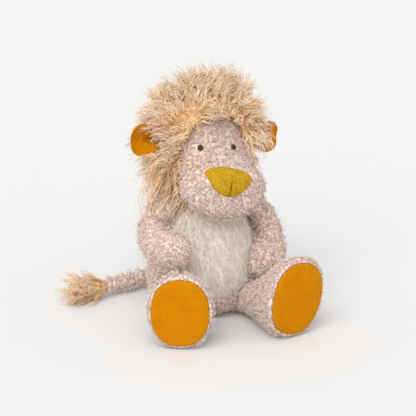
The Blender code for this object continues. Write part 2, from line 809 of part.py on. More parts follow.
class Foot:
    """How one foot is stuffed and how far it rolls outwards."""

    def __init__(self, roll, fill):
        self.roll = roll
        self.half_width = FOOT_HALF_WIDTH * fill
        self.half_height = FOOT_HALF_HEIGHT * fill

    def ring(self, y, width, height, roll, low, sides, grown=True):
        """A rolled oval across the leg, with its lowest point at the height low."""
        side = X * cos(roll) - Z * sin(roll)
        up = X * sin(roll) + Z * cos(roll)
        centre = Vector((0, y, low + reach_down(width, height, roll)))
        return ellipse(centre, side, up, width, height, sides, grown)

    def leg_mesh(self, name):
        """A leg in its own frame: hip at the origin, foot towards -Y."""
        rings = []
        for reach, radius in ROOT_RING_SHARES:
            ring_radius = LEG_ROOT_RADIUS * radius
            rings.append(ellipse(-Y * (LEG_ROOT_RADIUS * reach), X, Z, ring_radius, ring_radius, LEG_SIDES))
        for reach, width, height, under, twist in LEG_RING_SHARES:
            low = HIP_HEIGHT * under - FLAT_DEPTH - HIP_HEIGHT
            rings.append(self.ring(
                -LEG_LENGTH * reach, self.half_width * width, self.half_height * height,
                self.roll * twist, low, LEG_SIDES))
        return loft(name, rings)

    def sole_ring(self, y, inset, share=1.0):
        """An oval centred in the foot's front face."""
        width = (self.half_width * SOLE_SHARE - inset) * share
        height = (self.half_height * SOLE_SHARE - inset) * share
        foot_below = reach_down(self.half_width, self.half_height, self.roll)
        low = foot_below - reach_down(width, height, self.roll) - FLAT_DEPTH - HIP_HEIGHT
        return self.ring(-LEG_LENGTH + y, width, height, self.roll, low, SOLE_SIDES, False)

    def sole_mesh(self, name):
        """The sole pad, a little crowned towards the front."""
        return loft(name, [
            self.sole_ring(SKIN - GAP, GAP),
            self.sole_ring(0, GAP),
            self.sole_ring(-SOLE_CROWN, GAP, SOLE_CROWN_SHARE),
        ])

    def sole_hole_mesh(self, name):
        return loft(name, [self.sole_ring(SKIN + GAP, 0), self.sole_ring(-OVERRUN, 0)])


def make_leg(lion, word, place, splay, foot):
    pivot = lion.pivot("hip_pivot_" + word, place, (0, 0, splay))
    name = "leg_skin_" + word
    skin = wall(smooth(lion.piece(name, foot.leg_mesh(name), lion.plush, pivot)), SKIN)
    name = "leg_stuffing_" + word
    stuffing = smooth(lion.piece(name, foot.leg_mesh(name), lion.fibre, pivot))
    swell(stuffing, -SKIN - STUFFING_GAP)
    boolean(skin, lion.floor)
    boolean(skin, lion.guide("sole_hole_" + word, foot.sole_hole_mesh("sole_hole"), pivot))
    opening = root_opening(lion, "leg_opening_" + word, -Y, LEG_ROOT_RADIUS, pivot)
    boolean(skin, opening)
    boolean(stuffing, opening)
    lion.piece("sole_pad_" + word, foot.sole_mesh("sole_pad"), lion.linen, pivot)


def tail_points():
    shares = [(out, -back, down) for out, back, down in TAIL_PATH_SHARES]
    return limb_points(Vector((0, 0, 0)), -1, TAIL_LENGTH, shares)


def make_tail(lion):
    pivot = lion.pivot("tail_pivot", tail_place())
    points = tail_points()
    radii = [TAIL_RADIUS * share for share in TAIL_RADIUS_SHARES]
    mesh = rooted_tube("tail_skin", points, radii, TAIL_ROOT_RADIUS, TAIL_SIDES)
    skin = wall(smooth(lion.piece("tail_skin", mesh, lion.plush, pivot)), SKIN)
    mesh = rooted_tube("tail_stuffing", points, radii, TAIL_ROOT_RADIUS, TAIL_SIDES)
    stuffing = swell(smooth(lion.piece("tail_stuffing", mesh, lion.fibre, pivot)), -SKIN - STUFFING_GAP)
    along = (points[1] - points[0]).normalized()
    opening = root_opening(lion, "tail_opening", along, TAIL_ROOT_RADIUS, pivot)
    boolean(skin, opening)
    boolean(stuffing, opening)

    along, side, up = path_frames(points)[-1]
    start = points[-1] - along * TUFT_OVERLAP
    rings = []
    for reach, radius in TUFT_RING_SHARES:
        ring_radius = TUFT_RADIUS * radius
        centre = start + along * (TUFT_LENGTH * reach)
        rings.append(ellipse(centre, side, up, ring_radius, ring_radius, TUFT_SIDES))
    tuft = smooth(lion.piece("tail_tuft", loft("tail_tuft", rings), lion.pile, pivot))
    room = rooted_tube("tail_room", points, radii, TAIL_ROOT_RADIUS, TAIL_SIDES)
    boolean(tuft, swell(smooth(lion.guide("tail_room", room, pivot)), GAP))


def build():
    clear_scene()
    lion = Lion()
    make_torso(lion, make_seats(lion))
    make_head(lion)
    make_arm(lion, "left", 1, LEFT_ARM_PATH_SHARES)
    make_arm(lion, "right", -1, RIGHT_ARM_PATH_SHARES)
    left_foot = Foot(LEFT_FOOT_ROLL, LEFT_FOOT_FILL_SHARE)
    right_foot = Foot(-RIGHT_FOOT_ROLL, RIGHT_FOOT_FILL_SHARE)
    make_leg(lion, "left", LEFT_HIP_PLACE, LEFT_LEG_SPLAY, left_foot)
    make_leg(lion, "right", RIGHT_HIP_PLACE, -RIGHT_LEG_SPLAY, right_foot)
    make_tail(lion)


build()
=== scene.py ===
"""A seated plush lion: beige curly plush, a blond long-pile mane and tuft, orange linen ears and soles.

Metres, +Z up, the lion faces -Y and its own left is +X. Each sewn form is a coarse cage made
smooth; its pile is real strands that Geometry Nodes root on that form.
"""

import json
from math import copysign, cos, pi, radians, sin, sqrt, tau

import bmesh
import bpy
import numpy as np
from mathutils import Euler, Matrix, Vector, noise
from mathutils.bvhtree import BVHTree


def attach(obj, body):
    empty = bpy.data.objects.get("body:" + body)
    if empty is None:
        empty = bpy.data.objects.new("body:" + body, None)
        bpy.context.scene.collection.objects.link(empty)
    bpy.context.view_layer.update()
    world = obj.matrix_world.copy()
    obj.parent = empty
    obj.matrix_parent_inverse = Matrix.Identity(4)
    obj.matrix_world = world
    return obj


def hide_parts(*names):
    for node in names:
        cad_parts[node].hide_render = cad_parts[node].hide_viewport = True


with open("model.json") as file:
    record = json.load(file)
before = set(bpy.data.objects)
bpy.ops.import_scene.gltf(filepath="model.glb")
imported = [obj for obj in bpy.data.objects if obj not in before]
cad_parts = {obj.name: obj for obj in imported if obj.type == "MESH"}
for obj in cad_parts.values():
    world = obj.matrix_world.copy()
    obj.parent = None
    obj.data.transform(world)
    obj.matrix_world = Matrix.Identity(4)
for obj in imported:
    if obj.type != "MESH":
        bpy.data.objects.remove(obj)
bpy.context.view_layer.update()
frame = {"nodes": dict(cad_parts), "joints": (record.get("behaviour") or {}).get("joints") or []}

X = Vector((1, 0, 0))
Y = Vector((0, 1, 0))
Z = Vector((0, 0, 1))
SIDES = {"left": 1, "right": -1}

# Camera
CAMERA_AZIMUTH = radians(-16)
CAMERA_ELEVATION = radians(18)
CAMERA_DISTANCE = 1.60
CAMERA_LENS = 115
CAMERA_TARGET = Vector((0.0015, 0, 0.1245))

# Light and floor
STUDIO_GLOW = 0.74
STUDIO_SEEN = 0.93
LAMP_STRENGTH = 1.68
LAMP_SPREAD = radians(55)
LAMP_COLOUR = (1.0, 0.99, 0.97)
LAMP_FROM = Vector((-0.55, -0.75, 1.0))
FLOOR_HALF_WIDTH = 6
FLOOR_THICKNESS = 0.01

# Sewing
FORM_LEVEL = 4
SKIN_INSET = 0.0012
SKIN = 0.0025
GAP = 0.0003
SEAT_GAP = 0.0008
SEAT_RIM = SEAT_GAP + 0.0002
FLAT_DEPTH = 0.0005
OVERRUN = 0.030
FLOOR_LIFT = 0.0003
FLOOR_SOFTNESS = 0.0012
ON_FORM = 0.0004
ON_MANE = 0.0006
SEAT_RIM_REACH = 0.9
LUMPS = {
    # height and size of the stuffing's lumps, then of the nap's unevenness
    "torso": (0.0008, 0.030, 0.0004, 0.006),
    "neck": (0.0004, 0.010, 0.0002, 0.003),
    "head": (0.0006, 0.022, 0.0004, 0.005),
    "mane": (0.0035, 0.022, 0.0012, 0.007),
    "arm": (0.0008, 0.018, 0.0005, 0.005),
    "leg": (0.0008, 0.022, 0.0004, 0.006),
    "tail": (0.0006, 0.012, 0.0004, 0.004),
    "tuft": (0.0015, 0.010, 0.0006, 0.004),
}

# Pile of each cloth: locks stand spacing apart, each of this many strands
CLOTH_PILES = {
    "plush": dict(
        spacing=0.0028, strands=5, spread=0.0014, length=0.0048, change=0.3, lift=0.5, stray=0.85,
        own_stray=0.38, fall=0.0, wave=0.0010, turns=0.8, gather=0.6, thickness=0.00036, tip_share=0.5,
        segments=3),
    "cream": dict(
        spacing=0.0026, strands=5, spread=0.0015, length=0.0078, change=0.3, lift=0.24, stray=0.12,
        own_stray=0.15, fall=0.0, wave=0.0005, turns=0.5, gather=0.1, thickness=0.00030, tip_share=0.4,
        segments=3),
    "blond": dict(
        spacing=0.0068, strands=5, spread=0.0020, length=0.0320, change=0.4, lift=0.25, stray=0.48,
        own_stray=0.10, fall=0.10, wave=0.0040, turns=1.6, gather=0.9, thickness=0.00074, tip_share=0.22,
        segments=10),
}
PILES = {
    # each piece's seed, and where it differs from its cloth's pile
    "torso_pile": dict(seed=3, spacing=0.0032, strands=4, thickness=0.00044),
    "belly_pile": dict(seed=5),
    "head_pile": dict(seed=7, spacing=0.0026, length=0.0046),
    "mane_locks_1": dict(seed=17),
    "mane_locks_2": dict(seed=34),
    "mane_locks_3": dict(seed=51),
    "mane_wisps": dict(
        seed=91, spacing=0.0064, strands=3, lift=0.6, stray=0.7, own_stray=0.3, fall=0.05, wave=0.0034,
        turns=1.2, gather=0.5, thickness=0.00036, tip_share=0.2, segments=8),
    "ear_pile_left": dict(seed=31, spacing=0.0030, length=0.0040),
    "ear_pile_right": dict(seed=31, spacing=0.0030, length=0.0040),
    "arm_pile_left": dict(seed=41),
    "arm_pile_right": dict(seed=43),
    "leg_pile_left": dict(seed=51, spacing=0.0025, thickness=0.00032),
    "leg_pile_right": dict(seed=53, spacing=0.0025, thickness=0.00032),
    "tail_pile": dict(seed=71, spacing=0.0032, length=0.0066, gather=0.75, thickness=0.00044),
    "tuft_locks": dict(
        seed=81, spacing=0.0043, strands=6, spread=0.0016, length=0.031, lift=0.22, stray=0.42, fall=0.03,
        wave=0.0034, gather=0.8, thickness=0.00046, tip_share=0.25, segments=8),
}
BARE_REACH = 0.08

# Torso
TORSO_HEIGHT = 0.1465
TORSO_WIDTH = 0.138
TORSO_DEPTH = 0.122
TORSO_BACKSET = 0.007
TORSO_SIDES = 8
TORSO_RING_SHARES = (
    # height, width, depth
    (0.00, 0.44, 0.44), (0.00, 0.80, 0.78), (0.10, 0.99, 0.99), (0.32, 1.05, 1.06),
    (0.58, 0.94, 0.92), (0.82, 0.74, 0.69), (0.98, 0.44, 0.42), (1.00, 0.18, 0.18),
)
BELLY_WIDTH = 0.100
BELLY_TOP = 0.142
BELLY_BOTTOM = 0.029
BELLY_BACK = 0.015
BELLY_POINTS = 64
BELLY_TAPER_SHARE = 0.30
TORSO_FLOOR_FADE = (0.0010, 0.005)
BODY_COMB = (0, 0, -0.35)
BELLY_SWAY_SIZE = 0.016
BELLY_FADE = 0.020

# Neck
NECK_RADIUS = 0.022
NECK_PLACE = Vector((0, 0.008, 0.151))
HEAD_TURN = radians(9)
HEAD_LEAN = radians(5)
NECK_INSET = 0.0002

# Head
HEAD_FRONT = 0.077
HEAD_BACK = 0.062
HEAD_HALF_WIDTH = 0.0465
HEAD_TOP = 0.099
HEAD_SIDES = 8
HEAD_RING_SHARES = (
    # reach of HEAD_FRONT (below 0) or HEAD_BACK, then half width, underside and crown of HEAD_TOP
    (-1.00, 0.38, -0.050, 0.260), (-0.97, 0.80, -0.170, 0.350), (-0.82, 1.08, -0.245, 0.405),
    (-0.60, 1.12, -0.235, 0.450), (-0.40, 1.00, -0.110, 0.530), (-0.23, 0.88, 0.030, 0.880),
    (0.03, 0.93, 0.060, 1.030), (0.45, 0.98, 0.080, 1.040), (0.85, 0.78, 0.160, 0.900),
    (1.00, 0.36, 0.400, 0.680),
)
FACE_SHIFT = -0.004

# Nose pad
NOSE_ROLL = radians(5)
NOSE_HALF_WIDTH = 0.0275
NOSE_ABOVE = 0.0085
NOSE_BELOW = 0.0225
NOSE_HEIGHT = 0.0295
NOSE_THICKNESS = 0.0034
NOSE_POINTS = 96
NOSE_RINGS = 22
NOSE_TIP_POWER = 1.35
NOSE_SEAM_WIDTH = 0.0011
NOSE_SEAM_DEPTH = 0.0012
NOSE_SEAM_START = (0.002, 0.006)
NOSE_SINK = 0.0006
NOSE_FADE = (0.0012, 0.0035)

# Bead eyes
EYE_SPREAD = 0.0205
EYE_HEIGHT = 0.0535
EYE_RADIUS = 0.0034
EYE_DOME = 0.0030
EYE_LIFT = 0.0026
EYE_STEPS = 40
EYE_RINGS = 12
EYE_TIP_RADIUS = 0.00004
EYE_FADE = (0.0046, 0.0100)
EYE_STEM = (
    # height, radius
    (-0.004, 0.0011), (EYE_LIFT - 0.0004, 0.0012), (EYE_LIFT - 0.0005, 0.0031),
)

# Mane
MANE_INSET = 0.0075
MANE_BASE = 0.006
MANE_CROWN = 0.135
MANE_HALF_WIDTH = 0.076
MANE_HALF_DEPTH = 0.056
MANE_BACKSET = 0.023
MANE_SIDES = 8
MANE_RING_SHARES = (
    # height, width, depth, lean to the lion's left
    (0.00, 0.62, 0.62, 0.00), (0.02, 0.84, 0.86, 0.00), (0.18, 0.95, 0.99, 0.00),
    (0.42, 0.99, 1.03, 0.00), (0.64, 1.03, 1.02, 0.01), (0.83, 0.77, 0.84, 0.06),
    (0.96, 0.46, 0.50, 0.12), (1.00, 0.18, 0.20, 0.14),
)
FACE_HALF_WIDTH = 0.0355
FACE_ARCH = 0.093
FACE_ARCH_SHARE = 0.36
FACE_SPRING = FACE_ARCH * (1.0 - FACE_ARCH_SHARE)
FACE_DEPTH = 0.010
FACE_POINTS = 32
MANE_LOWERING = 0.007
MANE_PARTING = 0.048
MANE_SWAY_SIZE = 0.018
FRINGE_REACH = 0.24

# Ears
EAR_LENGTH = 0.052
EAR_HALF_HEIGHT = 0.019
EAR_CUP = 0.009
EAR_WALL = 0.0026
EAR_LINING_WALL = 0.0010
EAR_SWEEP = radians(3)
EAR_SWING = radians(15)
EAR_ROOM = 0.0036
EAR_ROOM_ROOT_SHARE = 0.10
EAR_COLUMNS = 4
EAR_FOLD = 0.0055
EAR_FOLD_WIDTH = 0.0042
EAR_OUTLINE_SHARES = (
    # length, half height, depth of the cup
    (0.00, 0.30, 0.00), (0.26, 0.34, 0.10), (0.48, 0.78, 0.70), (0.72, 1.06, 1.00),
    (0.92, 0.88, 0.70), (1.00, 0.46, 0.35),
)
EAR_FOLD_FADE = (0.018, 0.045)
EAR_SAG = 0.0006
EAR_BACK_INSET = 0.0006
EAR_BACK_WALL = EAR_WALL - 0.0004
EAR_LINING_LAP = 0.0008
EAR_LOCKS = (
    # side, height from which locks are full, and how they lie over the ear
    (1, -0.002, (0.96, -0.42, -0.90)), (-1, 0.020, (-1.20, -0.30, -0.18)),
)

# Arms
ARM_LENGTH = 0.118
ARM_RADIUS = 0.019
ARM_ROOT_RADIUS = 0.0175
ARM_SIDES = 6
SHOULDER_SPREAD = 0.049
SHOULDER_HEIGHT = 0.129
SHOULDER_BACKSET = 0.004
ARM_RADIUS_SHARES = (0.92, 0.92, 0.98, 1.04, 1.16, 1.18, 0.74)
ARM_PATH_SHARES = {
    # outwards, forwards, down
    "right": (
        (0.000, 0.000, 0.000), (0.095, 0.015, 0.070), (0.165, 0.075, 0.185), (0.190, 0.240, 0.268),
        (0.145, 0.450, 0.272), (0.080, 0.650, 0.255), (0.030, 0.780, 0.245),
    ),
    "left": (
        (0.000, 0.000, 0.000), (0.105, 0.010, 0.085), (0.190, 0.050, 0.215), (0.215, 0.145, 0.370),
        (0.155, 0.285, 0.485), (0.070, 0.430, 0.555), (0.005, 0.530, 0.585),
    ),
}
ARM_SEAM_FADE = (-0.002, 0.0015)
ARM_COMB = (0.0, -0.1, -0.35)

# Legs
LEG_LENGTH = 0.087
LEG_ROOT_RADIUS = 0.020
FOOT_HALF_WIDTH = 0.0375
FOOT_HALF_HEIGHT = 0.0455
LEG_SIDES = 8
HIP_HEIGHT = 0.0225
HIP_PLACES = {
    "right": Vector((-0.042, -0.043, HIP_HEIGHT)),
    "left": Vector((0.0445, -0.0445, HIP_HEIGHT)),
}
LEG_SPLAYS = {"right": radians(-17), "left": radians(19)}
FOOT_ROLLS = {"right": radians(0), "left": radians(13)}
FOOT_FILL_SHARES = {"right": 1.00, "left": 1.07}
LEG_RING_SHARES = (
    # reach of LEG_LENGTH, width, height, underside of HIP_HEIGHT, roll
    (0.32, 0.62, 0.55, 0.110, 0.2), (0.56, 0.78, 0.73, 0.010, 0.5), (0.78, 0.95, 0.94, 0.000, 0.8),
    (0.93, 1.03, 1.02, 0.000, 1.0), (1.00, 0.96, 0.96, 0.090, 1.0), (1.00, 0.78, 0.78, 0.450, 1.0),
)
SOLE_SHARE = 0.885
SOLE_SIDES = 72
SOLE_RINGS = 14
SOLE_CROWN = 0.0022
SOLE_SQUARE = 0.88
SOLE_SINK = 0.0006
LEG_SEAM_FADE = (-0.002, 0.0005)
FOOT_FLOOR_FADE = (0.0008, 0.006)

# Tail
TAIL_RADIUS = 0.0088
TAIL_LENGTH = 0.128
TAIL_ROOT_RADIUS = 0.0105
TAIL_SIDES = 6
TUFT_SIDES = 8
TAIL_PLACE = Vector((0, 0.0665, 0.0245))
TAIL_PATH_SHARES = (
    # to the lion's right, forwards, down
    (0.000, 0.000, 0.000), (0.035, -0.090, 0.025), (0.190, -0.145, 0.060), (0.450, -0.095, 0.080),
    (0.740, 0.010, 0.080), (1.000, 0.090, 0.075),
)
TAIL_SEAM_FADE = (-0.001, 0.0006)
TAIL_COMB = (-0.35, 0.0, -0.15)
TAIL_RADIUS_SHARES = (1.12, 1.02, 1.02, 1.02, 1.00, 0.70)
TUFT_LENGTH = 0.066
TUFT_RADIUS = 0.0135
TUFT_OVERLAP = 0.014
TUFT_INSET = 0.004
TUFT_TIP_RADIUS = 0.0015
TUFT_GROUND_SHARE = 0.75
TUFT_RING_SHARES = (
    # reach, radius
    (0.00, 0.55), (0.06, 0.86), (0.32, 1.04), (0.62, 1.02), (0.88, 0.62), (1.00, 0.26),
)
ROOT_RING_SHARES = (
    # reach, radius
    (-0.82, 0.60), (0.00, 1.10), (0.42, 0.94),
)

# Colours, as they show under plain light
# The deep colours are the strands' roots: partly their own darker colour, partly painted shade among the
# crowded roots.
PLUSH_DEEP = (0.50, 0.30, 0.23)
# The ground colours are painted shade in the ground's crevices between tufts.
PLUSH_GROUND_SHADE = (0.58, 0.39, 0.31)
PLUSH_MIDDLE = (0.94, 0.795, 0.715)
PLUSH_TIP = (0.965, 0.875, 0.83)
# CREAM_DEEP is also the painted shade in the cream ground's crevices.
CREAM_DEEP = (0.86, 0.77, 0.70)
CREAM_MIDDLE = (0.88, 0.815, 0.758)
CREAM_TIP = (0.91, 0.868, 0.828)
BLOND_DEEP = (0.88, 0.49, 0.20)
BLOND_MIDDLE = (1.0, 0.71, 0.39)
BLOND_TIP = (1.0, 0.90, 0.78)
# painted shade for the mane ground's crevices
BLOND_GROUND_SHADE = (0.62, 0.36, 0.16)
BLOND_NAP = (0.84, 0.56, 0.31)
ORANGE = (0.70, 0.262, 0.002)
ORANGE_SHADE = (0.58, 0.195, 0.001)
MUSTARD = (0.65, 0.39, 0.024)
MUSTARD_SHADE = (0.33, 0.175, 0.006)
BEAD_BLACK = (0.006, 0.006, 0.008)
FIBRE_WHITE = (0.88, 0.88, 0.86)
WASHER_WHITE = (0.82, 0.82, 0.80)
FLOOR_PALE = (0.815, 0.815, 0.815)
GREY = (0.5, 0.5, 0.5)

# Linen
SLUBS_PER_METRE = 620.0
SLUB_ENDS_PER_METRE = 26.0


# Sewing the forms

def placed(name, data):
    item = bpy.data.objects.new(name, data)
    bpy.context.scene.collection.objects.link(item)
    return item


def settled(item, name):
    """The plain mesh that an object's modifiers make, in place of the object."""
    depsgraph = bpy.context.evaluated_depsgraph_get()
    made = bpy.data.meshes.new_from_object(item.evaluated_get(depsgraph))
    bpy.data.objects.remove(item)
    made.name = name
    return made


def as_mesh(shape, name):
    mesh = bpy.data.meshes.new(name)
    shape.to_mesh(mesh)
    shape.free()
    return mesh


def ellipse(centre, side, up, half_side, half_up, sides, grown=True, square=1.0):
    """A ring of a cage, outside the smooth ring that it makes if grown. Square below 1 fills corners."""
    grow = 6.0 / (4.0 + 2.0 * cos(tau / sides)) if grown else 1.0
    ring = []
    for step in range(sides):
        across, above = cos(tau * step / sides), sin(tau * step / sides)
        across, above = (copysign(abs(share) ** square, share) for share in (across, above))
        ring.append(centre + side * (half_side * grow * across) + up * (half_up * grow * above))
    return ring


def loft(name, rings, closed=True):
    """A cage through rings of equal numbers of points, with closed ends."""
    shape = bmesh.new()
    loops = [[shape.verts.new(point) for point in ring] for ring in rings]
    for low, high in zip(loops, loops[1:]):
        count = len(low)
        for index in range(count if closed else count - 1):
            following = (index + 1) % count
            shape.faces.new((low[index], low[following], high[following], high[index]))
    if closed:
        shape.faces.new(list(reversed(loops[0])))
        shape.faces.new(loops[-1])
        bmesh.ops.recalc_face_normals(shape, faces=shape.faces)
    return as_mesh(shape, name)


def modified(kind, **settings):
    """A step that gives an object a modifier with these settings."""
    def step(item):
        modifier = item.modifiers.new(kind.lower(), kind)
        for name, value in settings.items():
            setattr(modifier, name, value)
    return step


def smooth(levels=FORM_LEVEL):
    return modified("SUBSURF", levels=levels, render_levels=levels)


def wall(thickness, offset=-1.0):
    return modified("SOLIDIFY", thickness=thickness, offset=offset)


def swell(distance):
    return modified("DISPLACE", direction="NORMAL", mid_level=0.0, strength=distance)


def worked(mesh, *steps):
    item = placed(mesh.name, mesh)
    for step in steps:
        step(item)
    return settled(item, mesh.name)


def cut(mesh, *tools, operation="DIFFERENCE"):
    """The mesh with each tool mesh cut from it, or only what both hold."""
    others = [placed("tool", tool) for tool in tools]
    steps = [modified("BOOLEAN", operation=operation, solver="EXACT", object=other) for other in others]
    made = worked(mesh, *steps)
    for other in others:
        bpy.data.objects.remove(other)
    return made


def ball(radius, place=(0, 0, 0)):
    shape = bmesh.new()
    bmesh.ops.create_uvsphere(shape, u_segments=32, v_segments=20, radius=radius)
    bmesh.ops.translate(shape, verts=shape.verts, vec=place)
    return as_mesh(shape, "ball")


def plate(outline, low, high):
    return loft("plate", [[Vector((x, y, z)) for x, z in outline] for y in (low, high)])


def path_frames(points):
    frames = []
    last = len(points) - 1
    for index in range(len(points)):
        along = (points[min(index + 1, last)] - points[max(index - 1, 0)]).normalized()
        side = along.cross(Z).normalized()
        frames.append((along, side, side.cross(along).normalized()))
    return frames


def root_rings(start, along, side, up, radius, sides):
    """The rings of a round root about a limb's first point."""
    rings = []
    for reach, share in ROOT_RING_SHARES:
        centre = start + along * (radius * reach)
        rings.append(ellipse(centre, side, up, radius * share, radius * share, sides))
    return rings


def rooted_rings(points, radii, root_radius, sides):
    """The rings of a stuffed tube with a round root about its first point."""
    rings = root_rings(points[0], *path_frames(points[:2])[0], root_radius, sides)
    for point, radius, (_, side, up) in list(zip(points, radii, path_frames(points)))[1:]:
        rings.append(ellipse(point, side, up, radius, radius, sides))
    return rings


def formed(name, rings, inset=SKIN_INSET):
    """A smooth form through the rings of a cage, drawn in by the inset."""
    return worked(loft(name, rings), smooth(), swell(-inset))


def points_of(mesh):
    found = np.empty(len(mesh.vertices) * 3)
    mesh.vertices.foreach_get("co", found)
    return found.reshape(-1, 3)


def normals_of(mesh):
    found = np.empty(len(mesh.vertices) * 3, np.float32)
    mesh.vertex_normals.foreach_get("vector", found)
    return found.reshape(-1, 3).astype(float)


def move_points(mesh, places):
    mesh.vertices.foreach_set("co", np.asarray(places, np.float32).ravel())
    mesh.update()
    return mesh


def mark(mesh, **layers):
    """Keep a number or a direction for each point of the mesh, or one direction for all."""
    for name, values in layers.items():
        values = np.asarray(values, np.float32)
        kind, key = "FLOAT", "value"
        if values.shape[-1] == 3:
            kind, key = "FLOAT_VECTOR", "vector"
            values = np.broadcast_to(values, (len(mesh.vertices), 3))
        mesh.attributes.new(name, kind, "POINT").data.foreach_set(key, values.ravel())


def surface_tree(mesh):
    shape = bmesh.new()
    shape.from_mesh(mesh)
    tree = BVHTree.FromBMesh(shape)
    shape.free()
    return tree


def heights_over(places, tree):
    """How far each place is from a closed form, below zero inside it."""
    found = np.empty(len(places))
    for index, place in enumerate(places):
        point = Vector(place)
        spot, normal, _, distance = tree.find_nearest(point)
        found[index] = distance if (point - spot).dot(normal) >= 0 else -distance
    return found


def on_form(places, tree, within=ON_FORM):
    return np.abs(heights_over(places, tree)) < within


def ramp(values, low, high):
    share = np.clip((np.asarray(values) - low) / (high - low), 0, 1)
    return share * share * (3 - 2 * share)


def far_from(places, centre=(0, 0, 0), stretch=(1, 1, 1)):
    return np.linalg.norm((places - np.array(centre)) * stretch, axis=1)


def unit(directions):
    return directions / (far_from(directions)[:, None] + 1e-9)


def turned(comb, way, share, hold=1.0):
    """A combing turned towards a way by a share, of which hold takes the old combing's place."""
    return comb * (1 - hold * share)[:, None] + np.asarray(way) * share[:, None]


def waver(places, size, seed=0):
    """Smooth random heights from -1 to 1 over the places, with lumps of this size."""
    shift = Vector((seed * 7.31, seed * 3.17, seed * 5.73))
    return np.array([noise.noise(Vector(place) / size + shift) for place in places])


def knead(mesh, word):
    """Give a smooth form the lumps of its stuffing and the unevenness of its nap."""
    lump, lump_size, nap, nap_size = LUMPS[word]
    places = points_of(mesh)
    lift = lump * waver(places, lump_size, 1) + nap * waver(places, nap_size, 2)
    return move_points(mesh, places + normals_of(mesh) * lift[:, None])


def rest_on_floor(mesh, low=FLOOR_LIFT):
    """Press what would reach under the floor flat against it."""
    places = points_of(mesh)
    soft = FLOOR_SOFTNESS
    under = places[:, 2] < low + soft
    places[under, 2] = low + soft * np.exp((places[under, 2] - low - soft) / soft)
    return move_points(mesh, places)


def fill_root(mesh, radius):
    """The root that turns in its seat keeps its full size, so the seam closes."""
    places = points_of(mesh)
    root = 1 - ramp(far_from(places), radius * 1.15, radius * 1.7)
    return move_points(mesh, places + normals_of(mesh) * (SKIN_INSET * root)[:, None])


def set_cloth_map(mesh):
    """Lay the cloth's threads along the piece's own x and z, in metres."""
    corners = np.empty(len(mesh.loops), np.int32)
    mesh.loops.foreach_get("vertex_index", corners)
    cloth = points_of(mesh)[corners][:, (0, 2)]
    mesh.uv_layers.new(name="cloth").data.foreach_set("uv", cloth.astype(np.float32).ravel())


# Nodes

class Signal:
    """A node's output. Arithmetic on it adds the nodes that work the result out."""

    def __init__(self, socket):
        self.socket = socket
        self.tree = socket.id_data

    def beside(self, key):
        return Signal(self.socket.node.outputs[key])

    def lead(self, socket):
        self.tree.links.new(self.socket, socket)

    def __add__(self, other):
        return maths("ADD", self, other)

    def __radd__(self, other):
        return maths("ADD", other, self)

    def __sub__(self, other):
        return maths("SUBTRACT", self, other)

    def __rsub__(self, other):
        return maths("SUBTRACT", other, self)

    def __mul__(self, other):
        return maths("MULTIPLY", self, other)

    def __rtruediv__(self, other):
        return maths("DIVIDE", other, self)

    def __pow__(self, other):
        return maths("POWER", self, other)


def wire(tree, kind, inputs=None, take=0, **settings):
    """Add a node with these settings and inputs, and take one of its outputs."""
    made = tree.nodes.new(kind)
    for name, value in settings.items():
        setattr(made, name, value)
    for key, value in (inputs or {}).items():
        socket = made.inputs[key]
        if isinstance(value, Signal):
            value.lead(socket)
        else:
            socket.default_value = (*value, 1.0) if socket.type == "RGBA" else value
    return Signal(made.outputs[take])


def tree_of(*values):
    return next(value.tree for value in values if isinstance(value, Signal))


def is_vector(value):
    return isinstance(value, Signal) and value.socket.type == "VECTOR"


def maths(operation, *values, **settings):
    """One math node on signals and numbers, a vector one where a signal is a vector."""
    kind, inputs = "ShaderNodeMath", dict(enumerate(values))
    if any(map(is_vector, values)):
        kind = "ShaderNodeVectorMath"
        if operation == "MULTIPLY":
            operation, inputs = "SCALE", {0: values[0], "Scale": values[1]}
    return wire(tree_of(*values), kind, inputs, operation=operation, **settings)


def mixed(share, first, second, blend="MIX"):
    """Mix two colours, each a colour or a signal."""
    return wire(tree_of(share, first, second), "ShaderNodeMix", {0: share, 6: first, 7: second}, 2,
                data_type="RGBA", blend_type=blend)


def eased(value, low, high, to_low=0.0, to_high=1.0):
    return wire(value.tree, "ShaderNodeMapRange", {
        "Value": value, "From Min": low, "From Max": high, "To Min": to_low, "To Max": to_high,
    }, "Result", interpolation_type="SMOOTHSTEP")


def noise_at(place, scale, detail=2.0, roughness=0.5):
    return wire(place.tree, "ShaderNodeTexNoise", {
        "Vector": place, "Scale": scale, "Detail": detail, "Roughness": roughness}, "Fac")


def own_place(tree):
    return wire(tree, "ShaderNodeTexCoord", take="Object")


def layer(tree, name):
    return wire(tree, "ShaderNodeAttribute", take="Fac", attribute_name=name)


def parts(vector):
    split = wire(vector.tree, "ShaderNodeSeparateXYZ", {0: vector})
    return [split.beside(axis) for axis in range(3)]


def ends_of(tree):
    """What a node group is given, as signals by name, and the sockets of what it gives."""
    given = tree.nodes.new("NodeGroupInput").outputs
    return {socket.name: Signal(socket) for socket in given}, tree.nodes.new("NodeGroupOutput").inputs


def effect(name, inputs, outputs):
    """A shader node group with these named inputs, at these values, and outputs."""
    tree = bpy.data.node_groups.new(name, "ShaderNodeTree")
    for label, value in inputs.items():
        colour = isinstance(value, tuple)
        kind = "NodeSocketColor" if colour else "NodeSocketFloat"
        socket = tree.interface.new_socket(label, in_out="INPUT", socket_type=kind)
        socket.default_value = (*value, 1.0) if colour else value
    for label, kind in outputs.items():
        tree.interface.new_socket(label, in_out="OUTPUT", socket_type="NodeSocket" + kind)
    return tree, *ends_of(tree)


# Finishes

